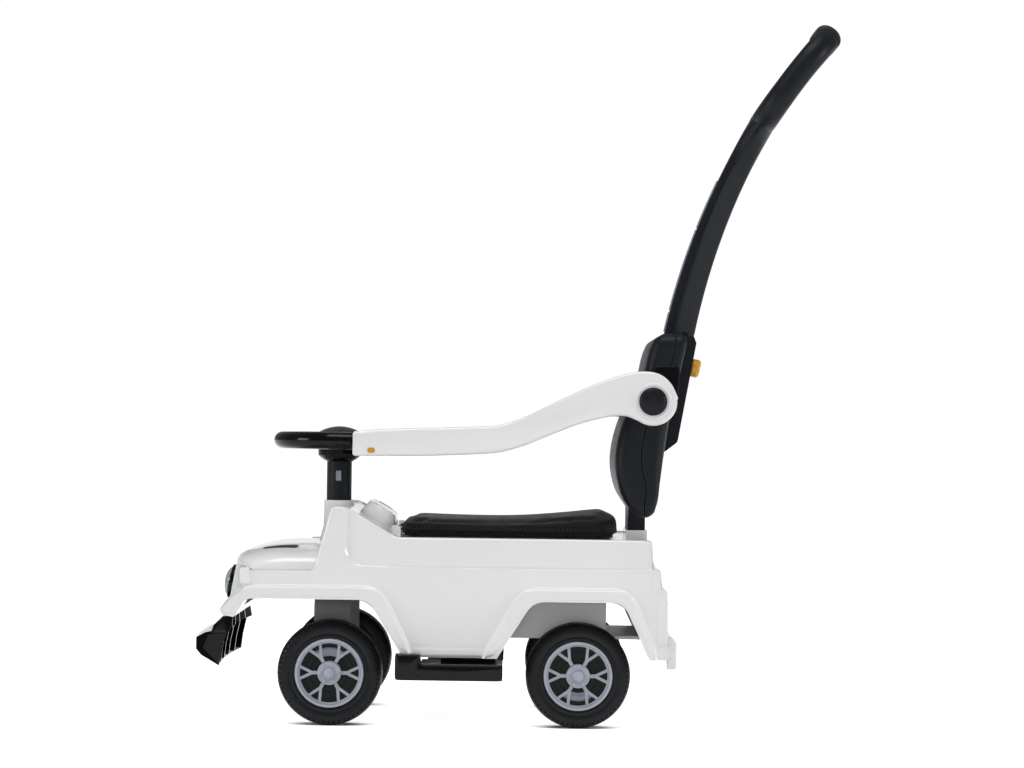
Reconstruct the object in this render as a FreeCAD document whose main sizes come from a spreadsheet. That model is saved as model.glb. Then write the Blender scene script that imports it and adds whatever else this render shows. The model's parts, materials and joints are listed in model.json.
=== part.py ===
import FreeCAD, Part
import math
import os
import Sketcher
from FreeCAD import Vector

# Push car with a parent handle, in millimetres.
# The car looks along -X, +Z is up, Y = 0 is its middle plane and Z = 0 is the floor.
doc = FreeCAD.newDocument("push_car")
sheet = doc.addObject("Spreadsheet::Sheet", "sizes")

SIZES = {
    # Fits and gaps
    "running_gap": 0.05,
    "seat_gap": 0.2,
    "clear_gap": 0.4,
    "overrun": 5.0,
    # Running gear
    "wheel_radius": 64.0,
    "tyre_width": 44.0,
    "wheel_gap": 5.0,
    "wheelbase": 303.0,
    "front_axle_x": -230.0,
    "axle_radius": 4.0,
    "axle_nut_radius": 7.0,
    "axle_nut_width": 2.8,
    "rim_radius": 42.0,
    "rim_ring_width": 6.0,
    "tyre_shoulder": 7.0,
    "hub_radius": 12.0,
    "hub_outer_end": 9.0,
    "dish_web": 3.0,
    "dish_web_low": 2.0,
    "dish_depth": 5.0,
    "dish_rim_low": -16.0,
    "cover_low": 12.6,
    "cover_thickness": 5.4,
    "hub_plate_radius": 14.7,
    "hub_dome_radius": 7.6,
    "hub_dome_height": 4.0,
    "spoke_width": 4.4,
    "spoke_arm_width": 3.5,
    "spoke_fork_radius": 24.0,
    "spoke_spread_deg": 12.4,
    "spoke_count": 6.0,
    # Fork and steering
    "fork_depth": 50.0,
    "fork_half_width": 98.0,
    "fork_leg": 12.0,
    "fork_foot": 28.0,
    "fork_foot_drop": 14.0,
    "fork_crown_low": 136.0,
    "fork_crown_top": 150.0,
    "fork_boss_radius": 20.0,
    "fork_boss_top": 155.5,
    "shaft_radius": 7.0,
    "bush_radius": 11.8,
    "bush_flange_radius": 18.0,
    "bush_flange": 3.0,
    "bush_length": 14.0,
    "column_radius": 15.75,
    "column_wall": 3.75,
    "column_low": 236.0,
    "column_top": 320.0,
    "window_width": 7.3,
    "window_height": 13.5,
    "window_z": 302.0,
    "collar_radius": 27.0,
    "collar_foot_radius": 17.0,
    "collar_height": 15.0,
    "ear_reach": 104.0,
    "ear_width": 12.0,
    "ear_thickness": 4.2,
    "ear_x": -198.0,
    "ear_gap": 2.15,
    "rim_z": 346.5,
    "steering_radius": 83.0,
    "rim_tube_radius": 10.75,
    "steering_hub_radius": 32.0,
    "steering_hub_wall": 2.6,
    "steering_hub_floor": 6.0,
    "steering_hub_low": 337.0,
    "steering_hub_top": 355.5,
    "steering_spoke_width": 26.0,
    "steering_spoke_thickness": 9.0,
    "horn_top": 364.5,
    "horn_depth": 9.0,
    "horn_spring_height": 2.4,
    "horn_recess": 3.0,
    # Body shell
    "body_wall": 3.0,
    "body_half_width": 160.0,
    "upper_inset": 5.0,
    "sill_z": 86.0,
    "crease_z": 195.0,
    "deck_z": 229.0,
    "deck_round": 7.0,
    "body_tip_x": -361.0,
    "body_tip_z": 136.0,
    "fender_front_x": -333.0,
    "fender_z": 188.0,
    "fender_round": 5.0,
    "cowl_foot_x": -249.0,
    "cowl_front_x": -229.0,
    "cowl_rear_x": -210.0,
    "cowl_z": 264.0,
    "dash_foot_x": -149.0,
    "upper_rear_x": 162.0,
    "tail_step_x": 172.0,
    "tail_step_z": 171.0,
    "tail_x": 180.0,
    "tail_skirt_z": 104.0,
    "tail_skirt_x": 182.0,
    "arch_z": 155.0,
    "flare_z": 171.0,
    "flare_half_width": 169.0,
    "flare_round": 6.0,
    "front_arch_ahead": 101.0,
    "front_arch_behind": 47.0,
    "front_arch_foot": 90.0,
    "front_flare_ahead": 104.0,
    "front_flare_behind": 62.0,
    "front_flare_foot": 103.0,
    "front_tip_drop_x": -345.0,
    "front_tip_drop_z": 132.0,
    "rear_arch_ahead": 56.0,
    "rear_arch_behind": 54.0,
    "rear_arch_front_foot": 99.0,
    "rear_arch_rear_foot": 86.0,
    "rear_flare_ahead": 70.0,
    "rear_flare_behind": 62.0,
    "rear_flare_front_foot": 118.0,
    "rear_flare_rear_foot": 97.0,
    "arch_round": 20.0,
    "hood_half_width": 117.0,
    "hood_edge_z": 204.0,
    "hood_crown_z": 219.0,
    "hood_front_x": -345.0,
    "hood_front_z": 207.0,
    "hood_front_round": 13.0,
    "hood_slope_run": 34.0,
    "hood_brow_z": 217.2,
    "hood_brow_round": 60.0,
    "nose_foot_x": -357.0,
    "nose_foot_z": 146.0,
    "tower_radius": 19.3,
    "tower_top": 271.0,
    "tower_foot_radius": 25.0,
    "tower_foot_low": 216.0,
    "tower_foot_top": 238.0,
    "sleeve_low": 200.0,
    "ledge_z": 240.0,
    "ledge_thickness": 5.6,
    "ledge_half_width": 100.0,
    "pod_half_width": 42.0,
    "pod_front_x": -204.0,
    "pod_apex_x": -188.0,
    "pod_apex_z": 271.5,
    "pod_front_z": 254.0,
    "pod_rear_x": -157.0,
    "pod_rear_z": 253.0,
    "pod_round": 6.0,
    "pod_lid_thickness": 2.4,
    "pod_lid_margin": 3.0,
    "pod_slot_half_width": 16.0,
    # Trim of the nose
    "vent_length": 40.0,
    "vent_width": 13.0,
    "vent_height": 5.0,
    "vent_x": -292.0,
    "vent_y": 68.0,
    "vent_sink": 9.0,
    "vent_drop": 3.0,
    "headlight_radius": 21.0,
    "headlight_ring": 4.0,
    "headlight_depth": 9.0,
    "headlight_y": 86.0,
    "headlight_z": 170.0,
    "lens_bulge": 3.0,
    "grille_half_width": 58.0,
    "grille_height": 30.0,
    "grille_thickness": 5.0,
    "grille_slot": 4.0,
    "grille_slots": 4.0,
    "indicator_y": 140.0,
    "indicator_width": 20.0,
    "indicator_height": 10.5,
    "indicator_proud": 4.0,
    "bumper_front_x": -398.9,
    "bumper_rear_x": -363.0,
    "bumper_low": 70.0,
    "bumper_top": 130.0,
    "bumper_half_width": 142.0,
    "bumper_end_round": 30.0,
    "bracket_rear_x": -346.5,
    "bracket_half_width": 56.0,
    "bracket_low": 124.0,
    # Tail trim
    "rear_bumper_depth": 12.0,
    "rear_bumper_low": 72.0,
    "rear_bumper_top": 112.0,
    "rear_bumper_half_width": 128.0,
    "rear_bumper_round": 4.0,
    "tail_lamp_width": 15.0,
    "tail_lamp_height": 34.0,
    "tail_lamp_y": 132.0,
    "tail_lamp_z": 138.0,
    "tail_lamp_proud": 2.0,
    # Chassis
    "floor_low": 106.0,
    "floor_thickness": 4.0,
    "floor_front_x": -150.0,
    "hanger_ledge": 3.0,
    "front_plate_low": 159.0,
    "front_plate_thickness": 6.0,
    "front_plate_half_width": 58.0,
    "front_plate_ahead": 32.0,
    "wing_front_x": -98.0,
    "wing_rear_x": -30.0,
    "carrier_front_x": -8.0,
    "carrier_rear_x": 108.0,
    "carrier_top": 150.0,
    "carrier_wall": 8.0,
    "hanger_half_length": 22.0,
    "hanger_thickness": 14.0,
    "hanger_drop": 14.0,
    "tub_front_x": -116.0,
    "tub_rear_x": 92.0,
    "tub_side_gap": 7.0,
    "tub_wall": 2.5,
    "tub_flange": 6.0,
    "tub_flange_thickness": 1.5,
    "screw_radius": 3.5,
    "screw_head": 2.0,
    "wing_screw": 16.0,
    # Footrests
    "guide_front_x": -96.0,
    "guide_rear_x": -28.0,
    "guide_half_width": 102.0,
    "guide_low": 64.0,
    "guide_wall": 3.0,
    "tongue_thickness": 9.0,
    "tongue_inner_y": 44.0,
    "tread_front_x": -118.0,
    "tread_rear_x": -19.0,
    "tread_inner_y": 112.0,
    "tread_outer_y": 197.0,
    "tread_low": 61.0,
    "tread_top": 80.0,
    "toe_front_x": -148.0,
    "toe_inner_y": 146.0,
    "toe_top": 92.0,
    "tread_round": 4.0,
    # Seat
    "seat_front_x": -145.5,
    "seat_rear_x": 118.0,
    "seat_half_width": 106.0,
    "seat_base_low": 231.0,
    "seat_base_thickness": 4.0,
    "seat_base_inset": 3.0,
    "seat_edge_z": 249.0,
    "seat_crown": 5.0,
    "seat_rise": 9.0,
    "seat_draw": 5.0,
    "hinge_x": -150.0,
    "hinge_z": 236.5,
    "hinge_radius": 4.0,
    "hinge_pin_radius": 2.0,
    "hinge_lug_y": 50.0,
    "hinge_lug_width": 8.6,
    # Backrest and its post
    "back_half_width": 118.0,
    "back_front_x": 115.8,
    "back_rear_x": 204.0,
    "back_low": 255.5,
    "back_top": 484.0,
    "back_wall": 3.5,
    "back_round": 9.0,
    "post_front_x": 135.4,
    "post_depth": 21.0,
    "post_half_width": 54.0,
    "post_low": 192.0,
    "post_top": 300.0,
    "post_tower_wall": 2.6,
    "post_tower_top": 239.4,
    # Handle
    "socket_x": 199.0,
    "socket_z": 485.0,
    "socket_lean_deg": 11.5,
    "spine_half_width": 32.0,
    "spine_low": 338.0,
    "spine_rear_x": 219.4,
    "spine_knee_z": 475.0,
    "spine_foot_x": 178.0,
    "spine_heel_x": 197.0,
    "spine_heel_z": 350.0,
    "plug_side": 24.0,
    "plug_depth": 100.0,
    "sleeve_wall": 3.0,
    "handle_bend_radius": 900.0,
    "handle_bend_deg": 18.5,
    "handle_steps": 8.0,
    "handle_depth": 38.0,
    "handle_width": 34.0,
    "handle_top_depth": 28.0,
    "handle_top_width": 40.0,
    "handle_round": 7.0,
    "loop_lean_deg": 37.0,
    "loop_half_width": 64.0,
    "loop_height": 132.0,
    "loop_tube_radius": 13.0,
    "loop_round": 42.0,
    "grip_radius": 18.0,
    "grip_half_length": 40.0,
    "release_radius": 11.5,
    "release_z": 445.0,
    "release_proud": 12.0,
    "release_sunk": 1.0,
    "release_travel": 4.0,
    "release_spring": 1.2,
    # Guard arms
    "pivot_x": 160.0,
    "pivot_z": 399.5,
    "arm_front_x": -204.0,
    "arm_low": 328.7,
    "arm_rise": 107.2,
    "arm_inner_y": 122.0,
    "arm_outer_y": 145.0,
    "arm_hub_radius": 31.0,
    "clasp_length": 34.0,
    "clasp_inner_y": 92.0,
    "clasp_height": 30.5,
    "clasp_round": 10.0,
    "pin_radius": 8.0,
    "pin_inner_y": 96.0,
    "cap_radius": 17.3,
    "cap_height": 6.0,
    "latch_x": -182.5,
    "latch_z": 336.0,
    "latch_length": 9.0,
    "latch_height": 6.4,
    "latch_depth": 7.0,
    "latch_proud": 0.8,
    "latch_travel": 2.5,
}


class Size:
    """A number together with the sheet formula that gives it."""

    def __init__(self, value, formula):
        self.value = value
        self.formula = formula

    def __float__(self):
        return float(self.value)

    def __add__(self, other):
        return join(self, "+", other)

    def __radd__(self, other):
        return join(other, "+", self)

    def __sub__(self, other):
        return join(self, "-", other)

    def __rsub__(self, other):
        return join(other, "-", self)

    def __mul__(self, other):
        return join(self, "*", other)

    def __rmul__(self, other):
        return join(other, "*", self)

    def __truediv__(self, other):
        return join(self, "/", other)

    def __neg__(self):
        return join(0, "-", self)


def as_size(amount):
    return amount if isinstance(amount, Size) else Size(amount, repr(amount))


def join(left, sign, right):
    """Work out one sum both as a number and as a sheet formula."""
    left, right = as_size(left), as_size(right)
    value = {
        "+": left.value + right.value,
        "-": left.value - right.value,
        "*": left.value * right.value,
        "/": left.value / right.value if right.value else 0,
    }[sign]
    return Size(value, f"({left.formula} {sign} {right.formula})")


class Sizes:
    """The sheet's values by name."""


s = Sizes()
touching = 1e-6
same_place = 1e-3
for row, (alias, value) in enumerate(SIZES.items(), start=1):
    sheet.set(f"A{row}", alias)
    sheet.set(f"B{row}", repr(value))
    sheet.setAlias(f"B{row}", alias)
    setattr(s, alias, Size(value, f"sizes.{alias}"))
doc.recompute()

SIDES = (("left", -1), ("right", 1))
NODES = []
TURN_TO = {
    "x": FreeCAD.Rotation(Vector(0, 1, 0), 90),
    "-x": FreeCAD.Rotation(Vector(0, 1, 0), -90),
    "y": FreeCAD.Rotation(Vector(1, 0, 0), -90),
    "-y": FreeCAD.Rotation(Vector(1, 0, 0), 90),
    "z": FreeCAD.Rotation(),
}
rear_axle_x = s.front_axle_x + s.wheelbase
floor_half_width = s.fork_half_width - s.hanger_ledge
tub_half_width = floor_half_width - s.carrier_wall - s.tub_side_gap
half_track = s.fork_half_width + s.wheel_gap + s.tyre_width / 2


# Bound primitives

def bind(thing, prop, amount):
    thing.setExpression(prop, as_size(amount).formula)


def put(thing, x, y, z, axis="z"):
    """Turn a piece's own Z to an axis and bind its place to the sheet."""
    thing.Placement = FreeCAD.Placement(Vector(), TURN_TO[axis])
    for letter, amount in zip("xyz", (x, y, z)):
        bind(thing, f"Placement.Base.{letter}", amount)
    return thing


def block(name, x, y, z):
    """A box between a low and a high place on each axis."""
    box = doc.addObject("Part::Box", name)
    for prop, (low, high) in zip(("Length", "Width", "Height"), (x, y, z)):
        bind(box, prop, high - low)
    return put(box, x[0], y[0], z[0])


def rod(name, radius, low, length, axis, x=0, y=0, z=0):
    """A cylinder that starts at low on its axis; x, y and z give the other two places."""
    bar = doc.addObject("Part::Cylinder", name)
    bind(bar, "Radius", radius)
    bind(bar, "Height", length)
    places = {"x": x, "y": y, "z": z}
    places[axis[-1]] = low
    return put(bar, places["x"], places["y"], places["z"], axis)


def cut(name, base, *tools):
    for index, tool in enumerate(tools):
        piece = doc.addObject("Part::Cut", f"{name}_cut{index}")
        piece.Base = base
        piece.Tool = tool
        base = piece
    return base


def fuse(name, *pieces):
    joined = doc.addObject("Part::MultiFuse", name)
    joined.Shapes = list(pieces)
    return joined


def group(name, *pieces):
    """Separate solids that share one node."""
    bundle = doc.addObject("Part::Compound", name)
    bundle.Links = list(pieces)
    return bundle


def turned(name, profile):
    """A body of revolution about its own Z, from (radius, height) corners."""
    body = doc.addObject("PartDesign::Body", name)
    sketch = body.newObject("Sketcher::SketchObject", f"{name}_profile")
    plane = [part for part in body.Origin.OriginFeatures if part.Role == "XZ_Plane"][0]
    sketch.AttachmentSupport = (plane, "")
    sketch.MapMode = "FlatFace"
    corners = [Vector(float(radius), float(height), 0) for radius, height in profile]
    count = len(corners)
    for index in range(count):
        sketch.addGeometry(Part.LineSegment(corners[index], corners[(index + 1) % count]), False)
    for index in range(count):
        sketch.addConstraint(Sketcher.Constraint("Coincident", index, 2, (index + 1) % count, 1))
    for index, (radius, height) in enumerate(profile):
        hold(sketch, index, "DistanceX", radius)
        hold(sketch, index, "DistanceY", height)
    spin = body.newObject("PartDesign::Revolution", f"{name}_turn")
    spin.Profile = sketch
    spin.ReferenceAxis = (sketch, ["V_Axis"])
    spin.Angle = 360
    return body


def hold(sketch, index, kind, amount):
    """Hold one corner of a sketch at a sheet value from the origin."""
    if abs(float(as_size(amount))) == 0:
        line = -2 if kind == "DistanceX" else -1
        sketch.addConstraint(Sketcher.Constraint("PointOnObject", index, 1, line))
        return
    number = sketch.addConstraint(Sketcher.Constraint(kind, -1, 1, index, 1, float(as_size(amount))))
    sketch.setExpression(f"Constraints[{number}]", as_size(amount).formula)


def ring(name, outer, bore, low, length, axis, **places):
    """A tube along an axis; its bore runs past both ends."""
    tube = rod(f"{name}_outer", outer, low, length, axis, **places)
    sign = -1 if axis.startswith("-") else 1
    hole = rod(f"{name}_bore", bore, low - sign * s.overrun, length + 2 * s.overrun, axis, **places)
    return cut(name, tube, hole)


# Worked shapes

def side_point(across, up):
    return Vector(across, 0, up)


def plan_point(across, up):
    return Vector(across, up, 0)


def front_point(across, up):
    return Vector(0, across, up)


def rounded_wire(corners, lift):
    """A closed outline whose (across, up, radius) corners are rounded by tangent arcs."""
    flat = [tuple(float(as_size(part)) for part in corner) for corner in corners]
    count = len(flat)
    edges = []
    runs = []
    for index, (across, up, radius) in enumerate(flat):
        here = Vector(across, up, 0)
        back = Vector(*flat[index - 1][:2], 0) - here
        ahead = Vector(*flat[(index + 1) % count][:2], 0) - here
        back.normalize()
        ahead.normalize()
        half = back.getAngle(ahead) / 2
        if radius == 0:
            runs.append((here, None, here))
            continue
        reach = radius / math.tan(half)
        inward = (back + ahead).normalize()
        middle = here + inward * (radius / math.sin(half) - radius)
        runs.append((here + back * reach, middle, here + ahead * reach))
    for index, (start, middle, end) in enumerate(runs):
        if middle is not None:
            points = [lift(*spot[:2]) for spot in (tuple(start), tuple(middle), tuple(end))]
            edges.append(Part.Arc(*points).toShape())
        following = runs[(index + 1) % count][0]
        if (following - end).Length > touching:
            edges.append(Part.makeLine(lift(end.x, end.y), lift(following.x, following.y)))
    return Part.Wire(edges)


def slab(corners, low, high, lift=side_point):
    """An outline carried straight along the axis that its plane leaves out."""
    along = {side_point: Vector(0, 1, 0), plan_point: Vector(0, 0, 1), front_point: Vector(1, 0, 0)}[lift]
    low, high = float(as_size(low)), float(as_size(high))
    face = Part.Face(rounded_wire(corners, lift))
    face.translate(along * low)
    return face.extrude(along * (high - low))


def box(x, y, z):
    low = Vector(*(float(as_size(pair[0])) for pair in (x, y, z)))
    high = Vector(*(float(as_size(pair[1])) for pair in (x, y, z)))
    span = high - low
    return Part.makeBox(span.x, span.y, span.z, low)


def drum(radius, length, start, direction):
    return Part.makeCylinder(float(as_size(radius)), float(as_size(length)), start, direction)


def spot(x, y, z):
    return Vector(float(as_size(x)), float(as_size(y)), float(as_size(z)))


def feature(name, shape):
    thing = doc.addObject("Part::Feature", name)
    thing.Shape = shape
    return thing


def node(thing, name):
    """Mark a finished sub-part; its label names its file."""
    thing.Label = name
    NODES.append(thing)
    return thing


def in_box(shares, x, z):
    """Outline corners from shares (across, up, rounding) of a box; rounding is a share of its width."""
    width = float(as_size(x[1] - x[0]))
    height = float(as_size(z[1] - z[0]))
    left, low = float(as_size(x[0])), float(as_size(z[0]))
    return [(left + across * width, low + up * height, turn * width) for across, up, turn in shares]


def ordered(first, second):
    return (first, second) if float(first) < float(second) else (second, first)


def cap_of_sphere(radius, rise, low):
    """A shallow dome on local Z that stands on a circle of a radius at a height."""
    radius, rise, low = (float(as_size(part)) for part in (radius, rise, low))
    sphere = (radius ** 2 + rise ** 2) / (2 * rise)
    room = drum(2 * radius, 2 * rise, Vector(0, 0, low), Vector(0, 0, 1))
    return Part.makeSphere(sphere, Vector(0, 0, low + rise - sphere)).common(room)


def mirrored(shape):
    return shape.mirror(Vector(), Vector(0, 1, 0))


# Wheels

def flat_bar(start, end, width, low, high):
    """A straight bar between two (x, y) points of the plan, between two heights."""
    along = Vector(end[0] - start[0], end[1] - start[1], 0).normalize()
    across = Vector(-along.y, along.x, 0) * (float(as_size(width)) / 2)
    first, last = Vector(*start, 0), Vector(*end, 0)
    corners = [first + across, last + across, last - across, first - across]
    return slab([(corner.x, corner.y, 0) for corner in corners], low, high, plan_point)


def spoked_cover():
    """The silver wheel cover about its own Z: ring, hub plate with a dome and forked spokes."""
    up = Vector(0, 0, 1)
    foot = spot(0, 0, s.cover_low)
    top = s.cover_low + s.cover_thickness
    ring_inner = s.rim_radius - s.rim_ring_width
    cover = drum(s.rim_radius, s.cover_thickness, foot, up)
    cover = cover.cut(drum(ring_inner, s.cover_thickness, foot, up))
    plate = drum(s.hub_plate_radius, s.cover_thickness, foot, up)
    dome = cap_of_sphere(s.hub_dome_radius, s.hub_dome_height, top)
    spoke_top = top - s.cover_thickness * spoke_sink_share
    spokes = []
    reach = float(ring_inner + s.rim_ring_width * half_share)
    for index in range(int(s.spoke_count.value)):
        turn = math.tau * index / s.spoke_count.value
        fork = polar(s.spoke_fork_radius, turn)
        stem = polar(s.hub_plate_radius * stem_root_share, turn)
        spokes.append(flat_bar(stem, fork, s.spoke_width, s.cover_low, spoke_top))
        for sign in (-1, 1):
            tip = polar(reach, turn + sign * math.radians(s.spoke_spread_deg.value))
            root = polar(s.spoke_fork_radius - s.spoke_arm_width, turn)
            spokes.append(flat_bar(root, tip, s.spoke_arm_width, s.cover_low, spoke_top))
    return cover.fuse([plate, dome] + spokes).removeSplitter()


def polar(radius, turn):
    radius = float(as_size(radius))
    return radius * math.cos(turn), radius * math.sin(turn)


half_share = 0.5
spoke_sink_share = 0.25
stem_root_share = 0.8


def wheel(name, axle_x, sign):
    """Tyre, dish with its hub, and spoked cover of one wheel, with local Z pointing outwards."""
    half = s.tyre_width / 2
    tyre_bore = s.rim_radius + s.seat_gap
    shoulder = s.tyre_shoulder
    tyre = turned(f"{name}_tyre", [
        (tyre_bore, shoulder * half_share - half),
        (tyre_bore + shoulder, -half),
        (s.wheel_radius - shoulder, -half),
        (s.wheel_radius, shoulder - half),
        (s.wheel_radius, half - shoulder),
        (s.wheel_radius - shoulder, half),
        (tyre_bore + shoulder, half),
        (tyre_bore, half - shoulder * half_share),
    ])
    bore = s.axle_radius + s.running_gap
    inner_end = s.fork_half_width + s.clear_gap - half_track
    dish_inner = s.rim_radius - s.dish_depth
    web_top = s.dish_web_low + s.dish_web
    dish = turned(f"{name}_dish", [
        (bore, inner_end),
        (s.hub_radius, inner_end),
        (s.hub_radius, s.dish_web_low),
        (dish_inner, s.dish_web_low),
        (dish_inner, s.dish_rim_low),
        (s.rim_radius, s.dish_rim_low),
        (s.rim_radius, s.cover_low),
        (dish_inner, s.cover_low),
        (dish_inner, web_top),
        (s.hub_radius, web_top),
        (s.hub_radius, s.hub_outer_end),
        (bore, s.hub_outer_end),
    ])
    cover = feature(f"{name}_cover", spoked_cover())
    for piece in (tyre, dish, cover):
        put(piece, axle_x, sign * half_track, s.wheel_radius, "-y" if sign < 0 else "y")
        node(piece, piece.Name)


def axle(name, axle_x):
    """A steel rod across the car with a push nut near each end."""
    reach = half_track + s.hub_outer_end + s.clear_gap + s.axle_nut_width
    bar = rod(f"{name}_axle", s.axle_radius, -reach, reach * 2, "y", x=axle_x, z=s.wheel_radius)
    node(bar, bar.Name)
    nuts = [
        ring(f"{name}_nut_{side}", s.axle_nut_radius, s.axle_radius + s.running_gap,
             sign * (half_track + s.hub_outer_end + s.clear_gap), s.axle_nut_width,
             "y" if sign > 0 else "-y", x=axle_x, z=s.wheel_radius)
        for side, sign in SIDES
    ]
    node(group(f"{name}_axle_nuts", *nuts), f"{name}_axle_nuts")


for end, axle_x in (("front", s.front_axle_x), ("rear", rear_axle_x)):
    for side, sign in SIDES:
        wheel(f"{end}_{side}", axle_x, sign)
    axle(end, axle_x)


# Steering

def front_fork():
    """Crown, two tapered legs down to the axle and a boss under the lower bush."""
    half = s.fork_depth / 2
    crown = block("fork_crown", (s.front_axle_x - half, s.front_axle_x + half),
                  (-s.fork_half_width, s.fork_half_width), (s.fork_crown_low, s.fork_crown_top))
    foot = s.fork_foot / 2
    low = s.wheel_radius - s.fork_foot_drop
    legs = []
    for side, sign in SIDES:
        outline = [
            (s.front_axle_x - half, s.fork_crown_low, 0),
            (s.front_axle_x + half, s.fork_crown_low, 0),
            (s.front_axle_x + foot, low, s.fork_foot_drop * foot_round_share),
            (s.front_axle_x - foot, low, s.fork_foot_drop * foot_round_share),
        ]
        inner = sign * (s.fork_half_width - s.fork_leg)
        legs.append(feature(f"fork_leg_{side}", slab(outline, inner, sign * s.fork_half_width)))
    boss = rod("fork_boss", s.fork_boss_radius, s.fork_crown_top, s.fork_boss_top - s.fork_crown_top, "z",
               x=s.front_axle_x)
    axle_hole = rod("fork_axle_hole", s.axle_radius + s.running_gap, -s.fork_half_width - s.overrun,
                    s.fork_half_width * 2 + s.overrun * 2, "y", x=s.front_axle_x, z=s.wheel_radius)
    shaft_hole = rod("fork_shaft_hole", s.shaft_radius + s.running_gap, s.fork_crown_low - s.overrun,
                     s.fork_boss_top - s.fork_crown_low + s.overrun * 2, "z", x=s.front_axle_x)
    return cut("front_fork", fuse("fork_body", crown, *legs, boss), axle_hole, shaft_hole)


foot_round_share = 0.7
node(front_fork(), "front_fork")
hub_floor_top = s.steering_hub_low + s.steering_hub_floor
node(rod("steering_shaft", s.shaft_radius, s.fork_crown_low, hub_floor_top - s.fork_crown_low, "z",
         x=s.front_axle_x), "steering_shaft")


def steering_wheel():
    """Flat wheel: rim tube, three spokes and a hub cup that holds the horn pad."""
    rim = doc.addObject("Part::Torus", "steering_rim")
    bind(rim, "Radius1", s.steering_radius - s.rim_tube_radius)
    bind(rim, "Radius2", s.rim_tube_radius)
    put(rim, s.front_axle_x, 0, s.rim_z)
    cup = turned("steering_cup", [
        (s.shaft_radius + s.running_gap, s.steering_hub_low),
        (s.steering_hub_radius - s.steering_hub_floor, s.steering_hub_low),
        (s.steering_hub_radius, hub_floor_top),
        (s.steering_hub_radius, s.steering_hub_top),
        (s.steering_hub_radius - s.steering_hub_wall, s.steering_hub_top),
        (s.steering_hub_radius - s.steering_hub_wall, hub_floor_top),
        (s.shaft_radius + s.running_gap, hub_floor_top),
    ])
    put(cup, s.front_axle_x, 0, 0)
    spokes = []
    half = s.steering_spoke_width / 2
    inner = s.steering_hub_radius - s.steering_hub_wall * half_share
    outer = s.steering_radius - s.rim_tube_radius
    for index, turn in enumerate(steering_spoke_turns):
        arm = doc.addObject("Part::Box", f"steering_spoke_{index}")
        bind(arm, "Length", outer - inner)
        bind(arm, "Width", s.steering_spoke_width)
        bind(arm, "Height", s.steering_spoke_thickness)
        spin = FreeCAD.Rotation(Vector(0, 0, 1), turn)
        corner = spin.multVec(spot(inner, -half, 0))
        arm.Placement = FreeCAD.Placement(
            corner + spot(s.front_axle_x, 0, s.rim_z - s.steering_spoke_thickness * half_share), spin)
        spokes.append(arm)
    return fuse("steering_wheel", rim, cup, *spokes)


steering_spoke_turns = (0, 120, 240)
node(steering_wheel(), "steering_wheel")


spring_radius = s.steering_hub_radius / 2


def horn_pad():
    """The domed pad in the middle of the steering wheel, free to sink in its cup."""
    radius = float(s.steering_hub_radius - s.steering_hub_wall - s.clear_gap)
    rise = float(s.horn_top - s.steering_hub_top)
    sphere = (radius ** 2 + rise ** 2) / (2 * rise)
    low = s.horn_top - s.horn_depth - rise
    up = Vector(0, 0, 1)
    body = drum(radius, s.horn_depth + rise, spot(s.front_axle_x, 0, low), up)
    room = drum(spring_radius + s.clear_gap, s.horn_recess, spot(s.front_axle_x, 0, low), up)
    return body.common(Part.makeSphere(sphere, spot(s.front_axle_x, 0, s.horn_top - sphere))).cut(room)


node(feature("horn_pad", horn_pad()), "horn_pad")
horn_spring = turned("horn_spring", [
    (s.shaft_radius + s.clear_gap, hub_floor_top + s.horn_spring_height * half_share),
    (spring_radius, hub_floor_top),
    (spring_radius, hub_floor_top + s.horn_spring_height * half_share),
    (s.shaft_radius + s.clear_gap, hub_floor_top + s.horn_spring_height),
])
node(put(horn_spring, s.front_axle_x, 0, 0), "horn_spring")


column_bore = s.column_radius - s.column_wall
bush_bore = s.shaft_radius + s.running_gap
bush_low = s.fork_boss_top + s.seat_gap
lower_bush = turned("lower_bush", [
    (bush_bore, bush_low),
    (s.bush_flange_radius, bush_low),
    (s.bush_flange_radius, bush_low + s.bush_flange),
    (s.bush_radius, bush_low + s.bush_flange),
    (s.bush_radius, bush_low + s.bush_length),
    (bush_bore, bush_low + s.bush_length),
])
put(lower_bush, s.front_axle_x, 0, 0)
upper_bush = ring("upper_bush", s.bush_radius, bush_bore, s.column_top - s.bush_length, s.bush_length, "z",
                  x=s.front_axle_x)
node(group("steering_bushes", lower_bush, upper_bush), "steering_bushes")


def column_windows(name, depth_from, depth_to, width, height):
    """Two small blocks, one on each side of the column, at its snap windows."""
    half = width / 2
    return [
        block(f"{name}_{side}", (s.front_axle_x - half, s.front_axle_x + half),
              (depth_from, depth_to) if sign > 0 else (-depth_to, -depth_from),
              (s.window_z - height / 2, s.window_z + height / 2))
        for side, sign in SIDES
    ]


tube = ring("column_blank", s.column_radius, column_bore, s.column_low, s.column_top - s.column_low, "z",
            x=s.front_axle_x)
windows = column_windows("window", s.shaft_radius, s.column_radius + s.overrun, s.window_width,
                         s.window_height)
node(cut("column_tube", tube, *windows), "column_tube")
snaps = column_windows("snap", column_bore, s.column_radius - s.seat_gap, s.window_width - s.seat_gap * 2,
                       s.window_height - s.seat_gap * 2)
node(group("column_snaps", *snaps), "column_snaps")


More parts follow.
